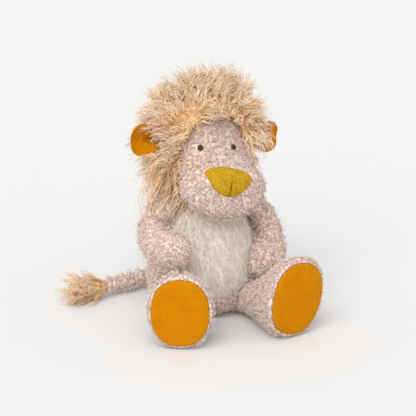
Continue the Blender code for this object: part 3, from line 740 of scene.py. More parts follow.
def make_fibre_tone():
    """The colour of a strand: deep at its root, pale at its tip, and a little different in each lock. The
    deep root is partly the fibre's own colour and partly painted shade among the crowded roots.
    """
    tree, given, out = effect("fibre_tone", {
        "Root": GREY, "Middle": GREY, "Tip": GREY, "Root end": 0.4, "Tip start": 0.5, "Change": 0.2,
        "Patch size": 30.0}, {"Colour": "Color"})
    along = layer(tree, "along")
    # the root colour: the fibre's own deeper colour with painted shade where the roots crowd
    body = mixed(eased(along, 0.0, given["Root end"]), given["Root"], given["Middle"])
    whole = mixed(eased(along, given["Tip start"], 1.0), body, given["Tip"])
    patch = eased(noise_at(own_place(tree), given["Patch size"], 3.0), 0.34, 0.68)
    shade = layer(tree, "tint") * 0.65 + patch * 0.35
    deeper = mixed(0.35, mixed(0.8, whole, given["Middle"]), given["Root"], "MULTIPLY")
    share = maths("MULTIPLY", eased(shade, 0.3, 0.72), given["Change"], use_clamp=True)
    mixed(share, whole, deeper).lead(out["Colour"])
    return tree


def make_nap_tone():
    """The ground of a pile fabric between its tufts: blotches of relief, painted with shade in their low
    crevices and pale on their raised tops.
    """
    tree, given, out = effect(
        "nap_tone", {"Deep": GREY, "Pale": GREY, "Tuft scale": 300.0}, {"Colour": "Color", "Height": "Float"})
    place = own_place(tree)
    tufts = wire(tree, "ShaderNodeTexVoronoi", {
        "Vector": place, "Scale": given["Tuft scale"], "Randomness": 1.0}, "Distance", feature="SMOOTH_F1")
    fine = noise_at(place, given["Tuft scale"] * 2.6, 3.0)
    height = eased(tufts, 0.15, 0.75, 1.0, 0.0) * 0.7 + fine * 0.3
    # painted shade: the lower the relief, the deeper the colour
    mixed(eased(height, 0.25, 0.8), given["Deep"], given["Pale"]).lead(out["Colour"])
    height.lead(out["Height"])
    return tree


def make_weave():
    """Linen on the piece's own cloth map, in metres: crossing threads of uneven thickness, with painted shade
    in the gaps between them.
    """
    tree, given, out = effect(
        "linen_weave", {"Thread": GREY, "Shade": GREY, "Threads per metre": 1400.0, "Slub": 0.42},
        {"Colour": "Color", "Height": "Float"})
    cloth = parts(wire(tree, "ShaderNodeUVMap", uv_map="cloth"))
    threads, slubs = [], []
    for across, along in ((0, 1), (1, 0)):
        turns = cloth[across] * given["Threads per metre"] * pi
        threads.append(maths("ABSOLUTE", maths("SINE", turns)))
        stretched = wire(tree, "ShaderNodeCombineXYZ", {
            0: cloth[across] * SLUBS_PER_METRE, 1: cloth[along] * SLUB_ENDS_PER_METRE, 2: across * 9.0})
        slubs.append(noise_at(stretched, 1.0, 2.0, 0.6))
    weave = threads[0] * threads[1]
    slub = (slubs[0] + slubs[1]) * 0.5
    worn = eased(noise_at(own_place(tree), 38.0, 3.0), 0.35, 0.7)
    share = eased(slub, 0.38, 0.62) * given["Slub"] + worn * 0.30
    # painted shade where the threads dip, in the gaps of the weave
    share = maths("ADD", share, (1.0 - weave) * 0.22, use_clamp=True)
    mixed(share, given["Thread"], given["Shade"]).lead(out["Colour"])
    (weave + slub * 1.5).lead(out["Height"])
    return tree


def new_finish(name, roughness, sheen=0.0, specular=0.3, sheen_tint=(1.0, 1.0, 1.0)):
    made = bpy.data.materials.new(name)
    made.use_nodes = True
    shader = made.node_tree.nodes["Principled BSDF"].inputs
    for key, value in (("Roughness", roughness), ("Specular IOR Level", specular), ("Sheen Weight", sheen),
                       ("Sheen Roughness", 0.6), ("Sheen Tint", (*sheen_tint, 1.0))):
        shader[key].default_value = value
    return made, made.node_tree, shader


def raise_nap(height, strength, distance, shader):
    wire(height.tree, "ShaderNodeBump", {
        "Height": height, "Strength": strength, "Distance": distance}).lead(shader["Normal"])


def strand_finish(name, group, colours, ends, change, patch_size, sheen, gloss=0.0):
    """Strands that turn from root to tip colour at these shares of their length."""
    made, tree, shader = new_finish(name, 0.78 - 0.3 * gloss, sheen, 0.3 + 0.5 * gloss, colours[2])
    values = dict(zip(("Root", "Middle", "Tip", "Root end", "Tip start"), (*colours, *ends)))
    values.update({"Change": change, "Patch size": patch_size})
    wire(tree, "ShaderNodeGroup", values, node_tree=group).lead(shader["Base Color"])
    return made


def ground_finish(name, group, deep, pale, tuft_scale):
    made, tree, shader = new_finish(name, 0.95, 0.2)
    # the deep colour is painted shade for the ground's crevices
    values = {"Deep": deep, "Pale": pale, "Tuft scale": tuft_scale}
    tone = wire(tree, "ShaderNodeGroup", values, node_tree=group)
    tone.lead(shader["Base Color"])
    raise_nap(tone.beside("Height"), 0.9, 0.0012, shader)
    return made


def paint_crease_shade(shader, cloth, shade):
    """Paint shade into a cloth's colour where its piece is creased."""
    mixed(layer(cloth.tree, "crease"), cloth, tuple(0.35 * c for c in shade)).lead(shader["Base Color"])


def linen_finish(name, group):
    made, tree, shader = new_finish(name, 0.85, specular=0.04)
    tone = wire(tree, "ShaderNodeGroup", {"Thread": ORANGE, "Shade": ORANGE_SHADE}, node_tree=group)
    # painted shade darkens the linen along the piece's crease
    paint_crease_shade(shader, tone, ORANGE_SHADE)
    raise_nap(tone.beside("Height"), 0.5, 0.00025, shader)
    return made


def felt_finish(name):
    """Pressed wool: fine fuzz and blotches, with painted shade in the sewn crease."""
    made, tree, shader = new_finish(name, 0.95, specular=0.04)
    fuzz = noise_at(own_place(tree), 560.0, 5.0, 0.8)
    blotch = noise_at(own_place(tree), 170.0, 3.0)
    share = maths("ADD", eased(fuzz, 0.42, 0.66) * 0.85, eased(blotch, 0.40, 0.70) * 0.30, use_clamp=True)
    # painted shade in the sewn crease
    paint_crease_shade(shader, mixed(share, MUSTARD, MUSTARD_SHADE), MUSTARD_SHADE)
    raise_nap(fuzz, 0.7, 0.0005, shader)
    return made


def plain_finish(name, colour, roughness, speckle, scale, sheen=0.0):
    """A moulded or loose-fibre finish with faint unevenness of colour and gloss."""
    made, tree, shader = new_finish(name, roughness, sheen, 0.5)
    grain = noise_at(own_place(tree), scale, 3.0)
    mixed(grain * speckle, colour, tuple(0.6 * c for c in colour)).lead(shader["Base Color"])
    eased(grain, 0.2, 0.8, roughness * 0.8, min(1.0, roughness * 1.25)).lead(shader["Roughness"])
    return made


def make_finishes():
    """Each finish of the lion by its short name, with the slot of the record that it fills."""
    fibre, nap, weave = make_fibre_tone(), make_nap_tone(), make_weave()
    plush = (PLUSH_DEEP, PLUSH_MIDDLE, PLUSH_TIP)
    cream = (CREAM_DEEP, CREAM_MIDDLE, CREAM_TIP)
    blond = (BLOND_DEEP, BLOND_MIDDLE, BLOND_TIP)
    return {
        # each ground's first colour is painted shade for its crevices
        "plush": (ground_finish("beige_plush_ground", nap, PLUSH_GROUND_SHADE, PLUSH_MIDDLE, 330.0), "beige_plush"),
        "cream": (ground_finish("cream_plush_ground", nap, CREAM_DEEP, CREAM_MIDDLE, 260.0), "cream_plush"),
        "blond": (ground_finish("blond_pile_ground", nap, BLOND_GROUND_SHADE, BLOND_NAP, 180.0), "blond_long_pile"),
        "plush_pile": (
            strand_finish("beige_plush_pile", fibre, plush, (0.45, 0.35), 0.45, 60.0, 0.6), "beige_plush"),
        "cream_pile": (
            strand_finish("cream_plush_pile", fibre, cream, (0.35, 0.3), 0.15, 70.0, 0.5), "cream_plush"),
        "blond_pile": (
            strand_finish("blond_long_pile", fibre, blond, (0.22, 0.20), 0.55, 45.0, 0.25, 1.0),
            "blond_long_pile"),
        "linen": (linen_finish("orange_linen_cloth", weave), "orange_linen"),
        "felt": (felt_finish("mustard_wool_felt"), "mustard_felt"),
        "bead": (plain_finish("black_glass_bead", BEAD_BLACK, 0.05, 0.3, 900.0), "black_bead"),
        "fibre": (plain_finish("white_fibre_wad", FIBRE_WHITE, 1.0, 0.5, 500.0, sheen=0.3), "white_stuffing"),
        "washer": (plain_finish("white_moulded_washer", WASHER_WHITE, 0.45, 0.2, 1200.0), "white_washer"),
    }


# Strands

STRAND_INPUTS = {
    "Geometry": ("Fabric",),
    "Float": ("Spacing", "Spread", "Length", "Change", "Lift", "Stray", "Own stray", "Fall", "Wave", "Turns",
              "Gather", "Thickness", "Tip share"),
    "Int": ("Strands", "Segments", "Seed"),
    "Material": ("Finish",),
}


def make_strand_tree():
    """Locks of strands on a surface. Its point attributes comb and reach lay and shorten them."""
    tree = bpy.data.node_groups.new("pile_strands", "GeometryNodeTree")
    for kind, labels in STRAND_INPUTS.items():
        for label in labels:
            tree.interface.new_socket(label, in_out="INPUT", socket_type="NodeSocket" + kind)
    tree.interface.new_socket("Pile", in_out="OUTPUT", socket_type="NodeSocketGeometry")
    given, out = ends_of(tree)

    def node(kind, inputs=None, take=0, **settings):
        return wire(tree, kind, inputs, take, **settings)

    def random_vector(step):
        return node("FunctionNodeRandomValue", {0: (-1, -1, -1), 1: (1, 1, 1), "Seed": given["Seed"] + step},
                    data_type="FLOAT_VECTOR")

    def upward(height):
        return node("ShaderNodeCombineXYZ", {2: height})

    def keep(geometry, name, value, kind="FLOAT_VECTOR"):
        return node("GeometryNodeStoreNamedAttribute", {"Geometry": geometry, "Name": name, "Value": value},
                    data_type=kind, domain="POINT")

    def kept(name, kind="FLOAT_VECTOR"):
        return node("GeometryNodeInputNamedAttribute", {"Name": name}, "Attribute", data_type=kind)

    spacing, seed = given["Spacing"], given["Seed"]
    roots = node("GeometryNodeDistributePointsOnFaces", {
        "Mesh": given["Fabric"], "Distance Min": spacing, "Density Max": 1.25 / (spacing * spacing),
        "Seed": seed,
    }, "Points", distribute_method="POISSON")
    bare = node("FunctionNodeCompare", {0: kept("reach", "FLOAT"), 1: BARE_REACH},
                data_type="FLOAT", operation="LESS_THAN")
    locks = node("GeometryNodeDeleteGeometry", {
        "Geometry": keep(roots, "out", roots.beside("Normal")), "Selection": bare}, domain="POINT")
    locks = keep(locks, "lock", random_vector(11.0))
    strands = node("GeometryNodeDuplicateElements", {
        "Geometry": locks, "Amount": given["Strands"]}, domain="POINT")
    strands = keep(strands, "own", random_vector(23.0))
    strands = node("GeometryNodeSetPosition", {"Geometry": strands, "Offset": kept("own") * given["Spread"]})

    line = node("GeometryNodeCurvePrimitiveLine", {"Start": (0, 0, 0), "End": (0, 0, 1)})
    line = node("GeometryNodeResampleCurve", {"Curve": line, "Count": given["Segments"] + 1.0})
    lines = node("GeometryNodeInstanceOnPoints", {"Points": strands, "Instance": line})
    curves = node("GeometryNodeRealizeInstances", {0: lines})

    along = node("GeometryNodeSplineParameter", take="Factor")
    lock, own, reach = kept("lock"), kept("own"), kept("reach", "FLOAT")
    (lock_x, lock_y, lock_z), (own_x, own_y, own_z) = parts(lock), parts(own)
    root = node("GeometryNodeInputPosition") - upward(along)
    way = maths("NORMALIZE", kept("out") * given["Lift"] + kept("comb") + lock * given["Stray"]
                + own * given["Own stray"])
    length = given["Length"] * reach * (1.0 + given["Change"] * own_y)
    side = maths("NORMALIZE", maths("CROSS_PRODUCT", way, lock + (0.31, 0.24, 0.93)))
    other = maths("CROSS_PRODUCT", way, side)
    phase = lock_z * pi + own_z * 0.7
    angle = along * given["Turns"] * tau * (1.0 + lock_y * 0.3) + phase
    swing = given["Wave"] * reach * along ** 0.7
    wave = side * (swing * maths("COSINE", angle)) + other * (swing * maths("SINE", angle))
    fall = upward(length * given["Fall"] * along * along * -1.0)
    gathered = own * (given["Spread"] * given["Gather"] * along * -1.0)
    curves = node("GeometryNodeSetPosition", {
        "Geometry": curves, "Position": root + way * (length * along) + wave + fall + gathered})
    slim = 1.0 - (1.0 - given["Tip share"]) * along ** 1.4
    width = given["Thickness"] * slim * (1.0 + own_x * 0.25)
    curves = keep(curves, "along", along, "FLOAT")
    curves = keep(curves, "tint", 0.5 + (lock_x * 0.34 + own_x * 0.16), "FLOAT")
    profile = node("GeometryNodeCurvePrimitiveCircle", {"Resolution": 3, "Radius": 1.0})
    tubes = node("GeometryNodeCurveToMesh", {
        "Curve": curves, "Profile Curve": profile, "Scale": width, "Fill Caps": True})
    whole = node("GeometryNodeRealizeInstances", {0: tubes})
    node("GeometryNodeSetMaterial", {"Geometry": whole, "Material": given["Finish"]}).lead(out["Pile"])
    return tree


# Camera, light and floor

def set_camera():
    azimuth, elevation = CAMERA_AZIMUTH, CAMERA_ELEVATION
    back = Vector((
        sin(azimuth) * cos(elevation), -cos(azimuth) * cos(elevation), sin(elevation)))
    right = Vector((cos(azimuth), sin(azimuth), 0))
    data = bpy.data.cameras.new("camera")
    data.lens = CAMERA_LENS
    camera = placed("camera", data)
    camera.matrix_world = (
        Matrix.Translation(CAMERA_TARGET + back * CAMERA_DISTANCE)
        @ Matrix((right, back.cross(right), back)).transposed().to_4x4())
    bpy.context.scene.camera = camera


def set_light():
    scene = bpy.context.scene
    scene.view_settings.view_transform = "Standard"
    scene.world = bpy.data.worlds.new("studio")
    scene.world.use_nodes = True
    tree = scene.world.node_tree
    backdrop = tree.nodes["Background"].inputs
    ray = wire(tree, "ShaderNodeLightPath", take="Is Camera Ray")
    through = maths("MAXIMUM", ray.beside("Is Glossy Ray"), ray.beside("Is Transmission Ray"))
    backdrop["Color"].default_value = (1.0, 1.0, 1.0, 1.0)
    eased(maths("MAXIMUM", ray, through), 0.0, 1.0, STUDIO_GLOW, STUDIO_SEEN).lead(backdrop["Strength"])
    lamp = bpy.data.lights.new("soft_lamp", "SUN")
    lamp.energy = LAMP_STRENGTH
    lamp.angle = LAMP_SPREAD
    lamp.color = LAMP_COLOUR
    placed("soft_lamp", lamp).rotation_euler = LAMP_FROM.to_track_quat("Z", "Y").to_euler()


def set_floor():
    half, deep = FLOOR_HALF_WIDTH, FLOOR_THICKNESS
    mesh = plate([(-half, -deep), (half, -deep), (half, 0), (-half, 0)], -half, half)
    made, _, shader = new_finish("floor_pale", 1.0, specular=0.0)
    shader["Base Color"].default_value = (*FLOOR_PALE, 1.0)
    mesh.materials.append(made)
    placed("floor", mesh)


# The lion

class Sewing:
    """The finishes, the strand tree and the placements that the pieces share."""

    def __init__(self):
        self.finish = make_finishes()
        self.strands = make_strand_tree()
        tilt = Euler((0, HEAD_LEAN, HEAD_TURN)).to_matrix().to_4x4()
        self.head = Matrix.Translation(NECK_PLACE) @ tilt
        joints = {joint["name"]: joint for joint in frame["joints"]}
        self.ears = {}
        for word, side in SIDES.items():
            place = Matrix.Translation(joints["ear_flop_" + word]["pos_m"])
            self.ears[word] = place @ tilt @ Matrix.Rotation(side * EAR_SWEEP, 4, "Z")

    def show(self, name, mesh, body):
        """An object of the mesh that moves with a body."""
        made = placed(name, mesh)
        mesh.shade_smooth()
        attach(made, body)
        return made

    def piece(self, name, mesh, cloth, body, stands_for, fill=None):
        """A piece in place of solids; the share of filling given for a padded one is not used."""
        finish, slot = self.finish[cloth]
        mesh.materials.clear()
        mesh.materials.append(finish)
        made = self.show(name, mesh, body)
        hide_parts(*stands_for)

    def pile(self, name, fabric, cloth, body):
        """Strands rooted on a fabric that has its comb and reach, as one plain mesh."""
        finish, slot = self.finish[cloth + "_pile"]
        values = {**CLOTH_PILES[cloth], **PILES[name], "finish": finish}
        item = placed(name, fabric)
        modifier = item.modifiers.new("pile", "NODES")
        modifier.node_group = self.strands
        for socket in self.strands.interface.items_tree:
            key = socket.name.replace(" ", "_").lower()
            if socket.in_out == "INPUT" and key in values:
                modifier[socket.identifier] = values[key]
        mesh = settled(item, name)
        for word in ("lock", "own", "out", "comb", "reach", "id"):
            if word in mesh.attributes:
                mesh.attributes.remove(mesh.attributes[word])
        self.show(name, rest_on_floor(mesh), body)


def torso_rings():
    rings = []
    for height, width, depth in TORSO_RING_SHARES:
        centre = Vector((0, TORSO_BACKSET, (TORSO_HEIGHT + FLAT_DEPTH) * height - FLAT_DEPTH))
        rings.append(ellipse(centre, X, Y, TORSO_WIDTH / 2 * width, TORSO_DEPTH / 2 * depth, TORSO_SIDES))
    return rings


def belly_outline(inset):
    half_height = (BELLY_TOP - BELLY_BOTTOM) / 2
    outline = []
    for step in range(BELLY_POINTS):
        z = sin(tau * step / BELLY_POINTS)
        narrowing = 1.0 - BELLY_TAPER_SHARE * max(0.0, -z) ** 2
        x = (BELLY_WIDTH / 2 - inset) * cos(tau * step / BELLY_POINTS) * narrowing
        outline.append((x, BELLY_BOTTOM + half_height + (half_height - inset) * z))
    return outline


def shoulder_place(side):
    return Vector((side * SHOULDER_SPREAD, SHOULDER_BACKSET, SHOULDER_HEIGHT))


def seats():
    """The round seats of the neck, tail, arms and legs, as centre and radius."""
    found = [(NECK_PLACE, NECK_RADIUS), (TAIL_PLACE, TAIL_ROOT_RADIUS)]
    found += [(shoulder_place(side), ARM_ROOT_RADIUS) for side in SIDES.values()]
    return found + [(HIP_PLACES[word], LEG_ROOT_RADIUS) for word in SIDES]


def seat_tools():
    return [ball(radius + SEAT_GAP, place) for place, radius in seats()]


def sew_torso(sewing):
    form = rest_on_floor(knead(formed("torso", torso_rings()), "torso"))
    tree = surface_tree(form)
    body = cut(form.copy(), plate(belly_outline(0), -TORSO_DEPTH, -BELLY_BACK), *seat_tools())
    panel = plate(belly_outline(GAP), -TORSO_DEPTH, -BELLY_BACK - GAP)
    belly = cut(cut(form.copy(), panel, operation="INTERSECT"), *seat_tools())
    for mesh in (body, belly):
        places = points_of(mesh)
        height = places[:, 2]
        reach = on_form(places, tree) * ramp(height, *TORSO_FLOOR_FADE)
        for place, radius in seats():
            rim = 0.0 if radius == NECK_RADIUS else SEAT_RIM_REACH
            reach = reach * np.where(far_from(places, place) > radius + SEAT_RIM, 1.0, rim)
        comb = BODY_COMB
        if mesh is belly:
            sway = waver(places, BELLY_SWAY_SIZE, 5)[:, None]
            comb = sway * (0.35, 0, 0.2) - (0, 0, 1)
            reach = reach * (0.4 + 0.6 * ramp(height, BELLY_BOTTOM, BELLY_BOTTOM + BELLY_FADE))
        mark(mesh, reach=reach, comb=comb)
    sewing.pile("torso_pile", body, "plush", "torso")
    sewing.pile("belly_pile", belly, "cream", "torso")
    solids = ("torso_skin", "torso_stuffing", "granule_pouch")
    sewing.piece("torso_plush", body, "plush", "torso", solids, 0.75)
    sewing.piece("belly_plush", belly, "cream", "torso", ("belly_panel",), 0.75)


def head_rings():
    rings = []
    for reach, width, under, crown in HEAD_RING_SHARES:
        y = reach * (HEAD_FRONT if reach < 0 else HEAD_BACK)
        low, high = HEAD_TOP * under, HEAD_TOP * crown
        centre = Vector((0, y, (low + high) / 2))
        rings.append(ellipse(centre, X, Z, HEAD_HALF_WIDTH * width, (high - low) / 2, HEAD_SIDES))
    return rings


def nose_point(angle, share):
    """A point of the leaf outline at a share of its way out: x and z in the head, then in the leaf."""
    lift = abs(sin(angle)) ** NOSE_TIP_POWER
    x = NOSE_HALF_WIDTH * cos(angle) * share
    z = (NOSE_ABOVE if sin(angle) > 0 else -NOSE_BELOW) * lift * share
    across, above = cos(NOSE_ROLL), sin(NOSE_ROLL)
    return FACE_SHIFT + x * across + z * above, NOSE_HEIGHT + z * across - x * above, x, z


def sew_nose(sewing, tree):
    """A felt leaf that follows the muzzle, rounded at its edge and creased down its lower middle, with
    painted shade kept along the crease.
    """
    rings, crease_shades = [], []
    for ring in range(NOSE_RINGS + 1):
        share = (ring / NOSE_RINGS) ** 0.75
        rise = sqrt(max(0.0, 1.0 - share ** 5))
        outer, inner = [], []
        for step in range(NOSE_POINTS):
            px, pz, x, z = nose_point(tau * step / NOSE_POINTS, max(share, 0.002))
            spot, normal, _, _ = tree.ray_cast(Vector((px, -HEAD_FRONT - OVERRUN, pz)), Y)
            crease = np.exp(-(x / NOSE_SEAM_WIDTH) ** 2) * float(ramp(-z, *NOSE_SEAM_START))
            crease = crease * (ring < NOSE_RINGS)
            height = NOSE_SINK + NOSE_THICKNESS * rise - NOSE_SEAM_DEPTH * crease * rise
            outer.append(spot + normal * height)
            inner.append(spot + normal * -NOSE_SINK)
            # the crease's painted shade, which darkens the felt along the seam
            crease_shades.append(0.8 * crease)
        rings.append(outer)
    mesh = loft("nose", rings + [inner])
    mark(mesh, crease=crease_shades + [0.0] * NOSE_POINTS)
    mesh.transform(sewing.head)
    sewing.piece("nose_felt", mesh, "felt", "head", ("nose_pad",), 0.5)
    return surface_tree(mesh)


def sew_eye(sewing, word, side, tree):
    start = Vector((FACE_SHIFT + side * EYE_SPREAD, -HEAD_FRONT - OVERRUN, EYE_HEIGHT))
    spot, normal, _, _ = tree.ray_cast(start, Y)
    turn = normal.to_track_quat("Z", "Y").to_matrix().to_4x4()
    rings = list(EYE_STEM)
    for step in range(EYE_RINGS + 1):
        angle = pi / 2 * step / EYE_RINGS
        rings.append((EYE_LIFT + EYE_DOME * sin(angle), max(EYE_RADIUS * cos(angle), EYE_TIP_RADIUS)))
    mesh = loft("eye", [ellipse(Z * rise, X, Y, radius, radius, EYE_STEPS, False) for rise, radius in rings])
    mesh.transform(sewing.head @ Matrix.Translation(spot) @ turn)
    sewing.piece("bead_eye_" + word, mesh, "bead", "head", ("eye_" + word,))
    return sewing.head @ spot


def sew_head(sewing):
    form = formed("head", head_rings(), SKIN_INSET * 0.8)
    tree = surface_tree(form)
    pad = sew_nose(sewing, tree)
    eyes = [sew_eye(sewing, word, side, tree) for word, side in SIDES.items()]
    skin = cut(knead(form.copy(), "head"), ball(NECK_RADIUS + SEAT_GAP))
    local = points_of(skin)
    mane = surface_tree(formed("mane_room", mane_rings(), MANE_INSET))
    arch = (np.abs(local[:, 0]) < FACE_HALF_WIDTH + 0.004) & (local[:, 1] < FACE_DEPTH + 0.002)
    reach = np.where(arch, 1.0, heights_over(local, mane) > -0.002) * (far_from(local) > NECK_RADIUS + 0.003)
    comb = local * (-2.0, 0, 0) - (0, 0.1, 0.125)
    skin.transform(sewing.head)
    places = points_of(skin)
    for eye in eyes:
        reach = reach * ramp(far_from(places, eye), *EYE_FADE)
    reach = reach * ramp(heights_over(places, pad), *NOSE_FADE)
    mark(skin, reach=reach, comb=comb)
    sewing.pile("head_pile", skin, "plush", "head")
    sewing.piece("head_plush", skin, "plush", "head", ("head_skin", "head_stuffing"), 0.8)
    return form


def mane_rings():
    rings = []
    for height, width, depth, lean in MANE_RING_SHARES:
        z = MANE_BASE + (MANE_CROWN - MANE_BASE) * height
        centre = Vector((MANE_HALF_WIDTH * lean, MANE_BACKSET, z))
        rings.append(ellipse(centre, X, Y, MANE_HALF_WIDTH * width, MANE_HALF_DEPTH * depth, MANE_SIDES))
    return rings


def face_outline():
    outline = [(-FACE_HALF_WIDTH, -HEAD_TOP), (FACE_HALF_WIDTH, -HEAD_TOP)]
    for step in range(FACE_POINTS + 1):
        angle = pi * step / FACE_POINTS
        outline.append((FACE_HALF_WIDTH * cos(angle), FACE_SPRING + FACE_ARCH * FACE_ARCH_SHARE * sin(angle)))
    return outline


def ear_room(side, hinge):
    """The space in the mane's ground that an ear sweeps as it flops."""
    root = (-EAR_ROOM_ROOT_SHARE, *EAR_OUTLINE_SHARES[0][1:])
    rings = []
    for length, half_height, cup_share in (root, *EAR_OUTLINE_SHARES[1:]):
        sweep = EAR_LENGTH * abs(length) * sin(EAR_SWING) + EAR_ROOM + EAR_LINING_WALL
        front, back = -EAR_WALL / 2 - sweep, EAR_CUP * cup_share + EAR_WALL / 2 + sweep
        half = EAR_HALF_HEIGHT * half_height + EAR_ROOM
        corners = ((front, -half), (back, -half), (back, half), (front, half))
        rings.append([Vector((side * EAR_LENGTH * length, *corner)) for corner in corners])
    mesh = loft("ear_room", rings)
    mesh.transform(hinge)
    return mesh


def comb_over_ears(local, outer, hinges, comb, reach):
    """Lay the locks above each ear over it, and shorten those beside it."""
    for hinge, (side, covered, lay) in zip(hinges, EAR_LOCKS):
        place = local - np.array(hinge.translation)
        over = ramp(-far_from(place, stretch=(0.7, 0.8, 1.0)), -0.034, -0.018)
        over = over * (ramp(place[:, 2], 0.0, 0.010) if side > 0 else ramp(-place[:, 1], -0.004, 0.004))
        comb = turned(comb, lay, over, 0.85)
        near = np.where(place[:, 2] > covered, 1.0, far_from(place, stretch=(0.55, 1.0, 1.0)))
        reach = reach * (0.45 + 0.55 * ramp(near, 0.012, 0.024)) * (outer | (near > 0.028))
    return comb, reach


def comb_mane(ground, form_tree, head_tree, hinges):
    """The way that the mane's locks lie on its ground, and their shares of a full length."""
    local, normals = points_of(ground), normals_of(ground)
    x, y, z = local.T
    outer = on_form(local, form_tree, ON_MANE)
    facing = ~outer & (heights_over(local, head_tree) > 0.0012)
    beside, behind = ramp(np.abs(normals[:, 0]), 0.55, 0.95), ramp(y, 0.030, 0.075)
    crown = ramp(z, 0.085, 0.112)
    hanging = ramp(-x, 0.018, 0.038) * ramp(-z, -0.046, -0.010) * (1 - ramp(y, 0.010, 0.030))
    sway = np.stack([waver(local, MANE_SWAY_SIZE, seed) for seed in (24, 25, 26)], 1)

    away = unit((local - (0, 0, MANE_PARTING)) * (1, 0, 1))
    flow = turned(away, away * (0.1, 0, 0) - (0, 0, 1), ramp(-away[:, 2], -0.45, 0.35))
    flow = turned(turned(flow, (0, 0.35, -0.8), beside), (0, 0.2, -0.9), behind)
    flow = unit(flow - 0.85 * normals * np.sum(flow * normals, 1)[:, None])
    comb = flow * (0.9 - 0.4 * crown)[:, None] + sway * 1.25 + normals * (0.10 * crown)[:, None]
    comb = turned(comb, (0.10, -0.15, -1.3), hanging, 0.75)
    reach = 0.85 + 0.15 * waver(local, 0.03, 15) + 2.1 * hanging - 0.30 * behind - 0.12 * (beside + crown)

    from_arch = np.where(z < FACE_SPRING, np.abs(x), np.hypot(x, z - FACE_SPRING)) - FACE_HALF_WIDTH
    hairline = (1 - ramp(from_arch, 0.002, 0.010)) * (1 - ramp(y, 0.0, 0.012)) * ramp(z, 0.050, 0.070)
    comb = turned(comb, 0.72 * sway - np.sign(local) * (0.4, 0, 0) - (0, 0.20, 0.08), hairline, 0.6)
    comb = np.where(facing[:, None], 0.7 * sway - 0.35 * away - (0, 1, 0), comb)
    reach = np.where(outer, reach, np.where(facing, FRINGE_REACH, 0.0))
    bottom = (z < MANE_BASE + MANE_INSET + 0.004) & (np.hypot(x, y - MANE_BACKSET) < MANE_HALF_DEPTH * 0.75)
    return comb_over_ears(local, outer, hinges, comb, np.where(bottom, 0.0, reach))


def sew_mane(sewing, head_form):
    """The dense ground of the mane, and the locks that stand, lie and hang from it."""
    form = formed("mane", mane_rings(), MANE_INSET)
    places = points_of(form)
    crown = ramp(places[:, 2], 0.055, 0.115)
    places[:, 0] -= (places[:, 0] - MANE_HALF_WIDTH * 0.10) * 0.12 * crown
    places[:, 2] -= MANE_LOWERING * ramp(places[:, 2], 0.085, 0.126)
    tree = surface_tree(knead(move_points(form, places), "mane"))
    room = worked(head_form.copy(), swell(GAP))
    face = plate(face_outline(), -HEAD_FRONT - OVERRUN, FACE_DEPTH)
    hinges = [sewing.head.inverted() @ hinge for hinge in sewing.ears.values()]
    ear_rooms = [ear_room(side, hinge) for side, hinge in zip(SIDES.values(), hinges)]
    ground = cut(form, room, face, ball(NECK_RADIUS + SEAT_GAP), *ear_rooms)
    comb, reach = comb_mane(ground, tree, surface_tree(head_form), hinges)
    ground.transform(sewing.head)
    mark(ground, comb=comb @ np.array(sewing.head.to_3x3()).T, reach=reach)
    for name in ("mane_locks_1", "mane_locks_2", "mane_locks_3", "mane_wisps"):
        sewing.pile(name, ground, "blond", "head")
    sewing.piece("mane_ground", ground, "blond", "head", ("mane",), 0.5)


def ear_rows(name, side, outward, forward):
    rows = []
    for length, half_height, cup_share in EAR_OUTLINE_SHARES:
        row = []
        for column in range(EAR_COLUMNS):
            across = 2.0 * column / (EAR_COLUMNS - 1) - 1.0
            cup = EAR_CUP * cup_share * (1.0 - across * across)
            height = (EAR_HALF_HEIGHT * half_height + outward) * across
            reach = EAR_LENGTH * length + (outward if length > 0.5 else 0.0)
            row.append(Vector((side * reach, cup - EAR_WALL / 2 - forward, height)))
        rows.append(row if side < 0 else list(reversed(row)))
    return loft(name, rows, closed=False)


def sew_ear(sewing, word, side):
    """A plush back, and a linen lining that covers the whole front and folds in at the middle."""
    back = worked(ear_rows("ear_back", side, -EAR_BACK_INSET, 0.0), smooth(), wall(EAR_BACK_WALL))
    lining = ear_rows("ear_lining", side, EAR_LINING_LAP, GAP)
    lining = worked(lining, smooth(5), wall(EAR_LINING_WALL, 1.0))
    for mesh in (back, lining):
        places = points_of(mesh)
        out = np.abs(places[:, 0])
        fold = np.exp(-(places[:, 2] / EAR_FOLD_WIDTH) ** 2) * (1 - ramp(out, *EAR_FOLD_FADE))
        places[:, 1] += EAR_FOLD * fold
        if mesh is lining:
            # painted shade along the lining's fold, kept for the linen's colour
            mark(mesh, crease=0.75 * fold * (places[:, 1] < EAR_CUP + EAR_FOLD))
            sag = 0.9 + waver(places, 0.011, 21)
            places[:, 1] -= EAR_SAG * sag * ramp(out, 0.004, 0.02)
        move_points(mesh, places)
    set_cloth_map(lining)
    local = points_of(back)
    across, out = np.abs(local[:, 2]) / EAR_HALF_HEIGHT, np.abs(local[:, 0]) / EAR_LENGTH
    inner = (1 - ramp(across, 0.60, 0.78)) * (1 - ramp(out, 0.80, 0.90))
    mark(back, reach=0.8 * ramp(normals_of(back)[:, 1], 0.5, 0.8) * inner, comb=(0.25 * side, 0.0, -0.3))
    for mesh in (back, lining):
        mesh.transform(sewing.ears[word])
    body = "ear_" + word
    sewing.pile("ear_pile_" + word, back, "plush", body)
    sewing.piece("ear_plush_" + word, back, "plush", body, ("ear_back_" + word,))
    sewing.piece("ear_linen_" + word, lining, "linen", body, ("ear_lining_" + word,))


def limb_points(side, length, shares):
    return [Vector((side * out, -forward, -down)) * length for out, forward, down in shares]


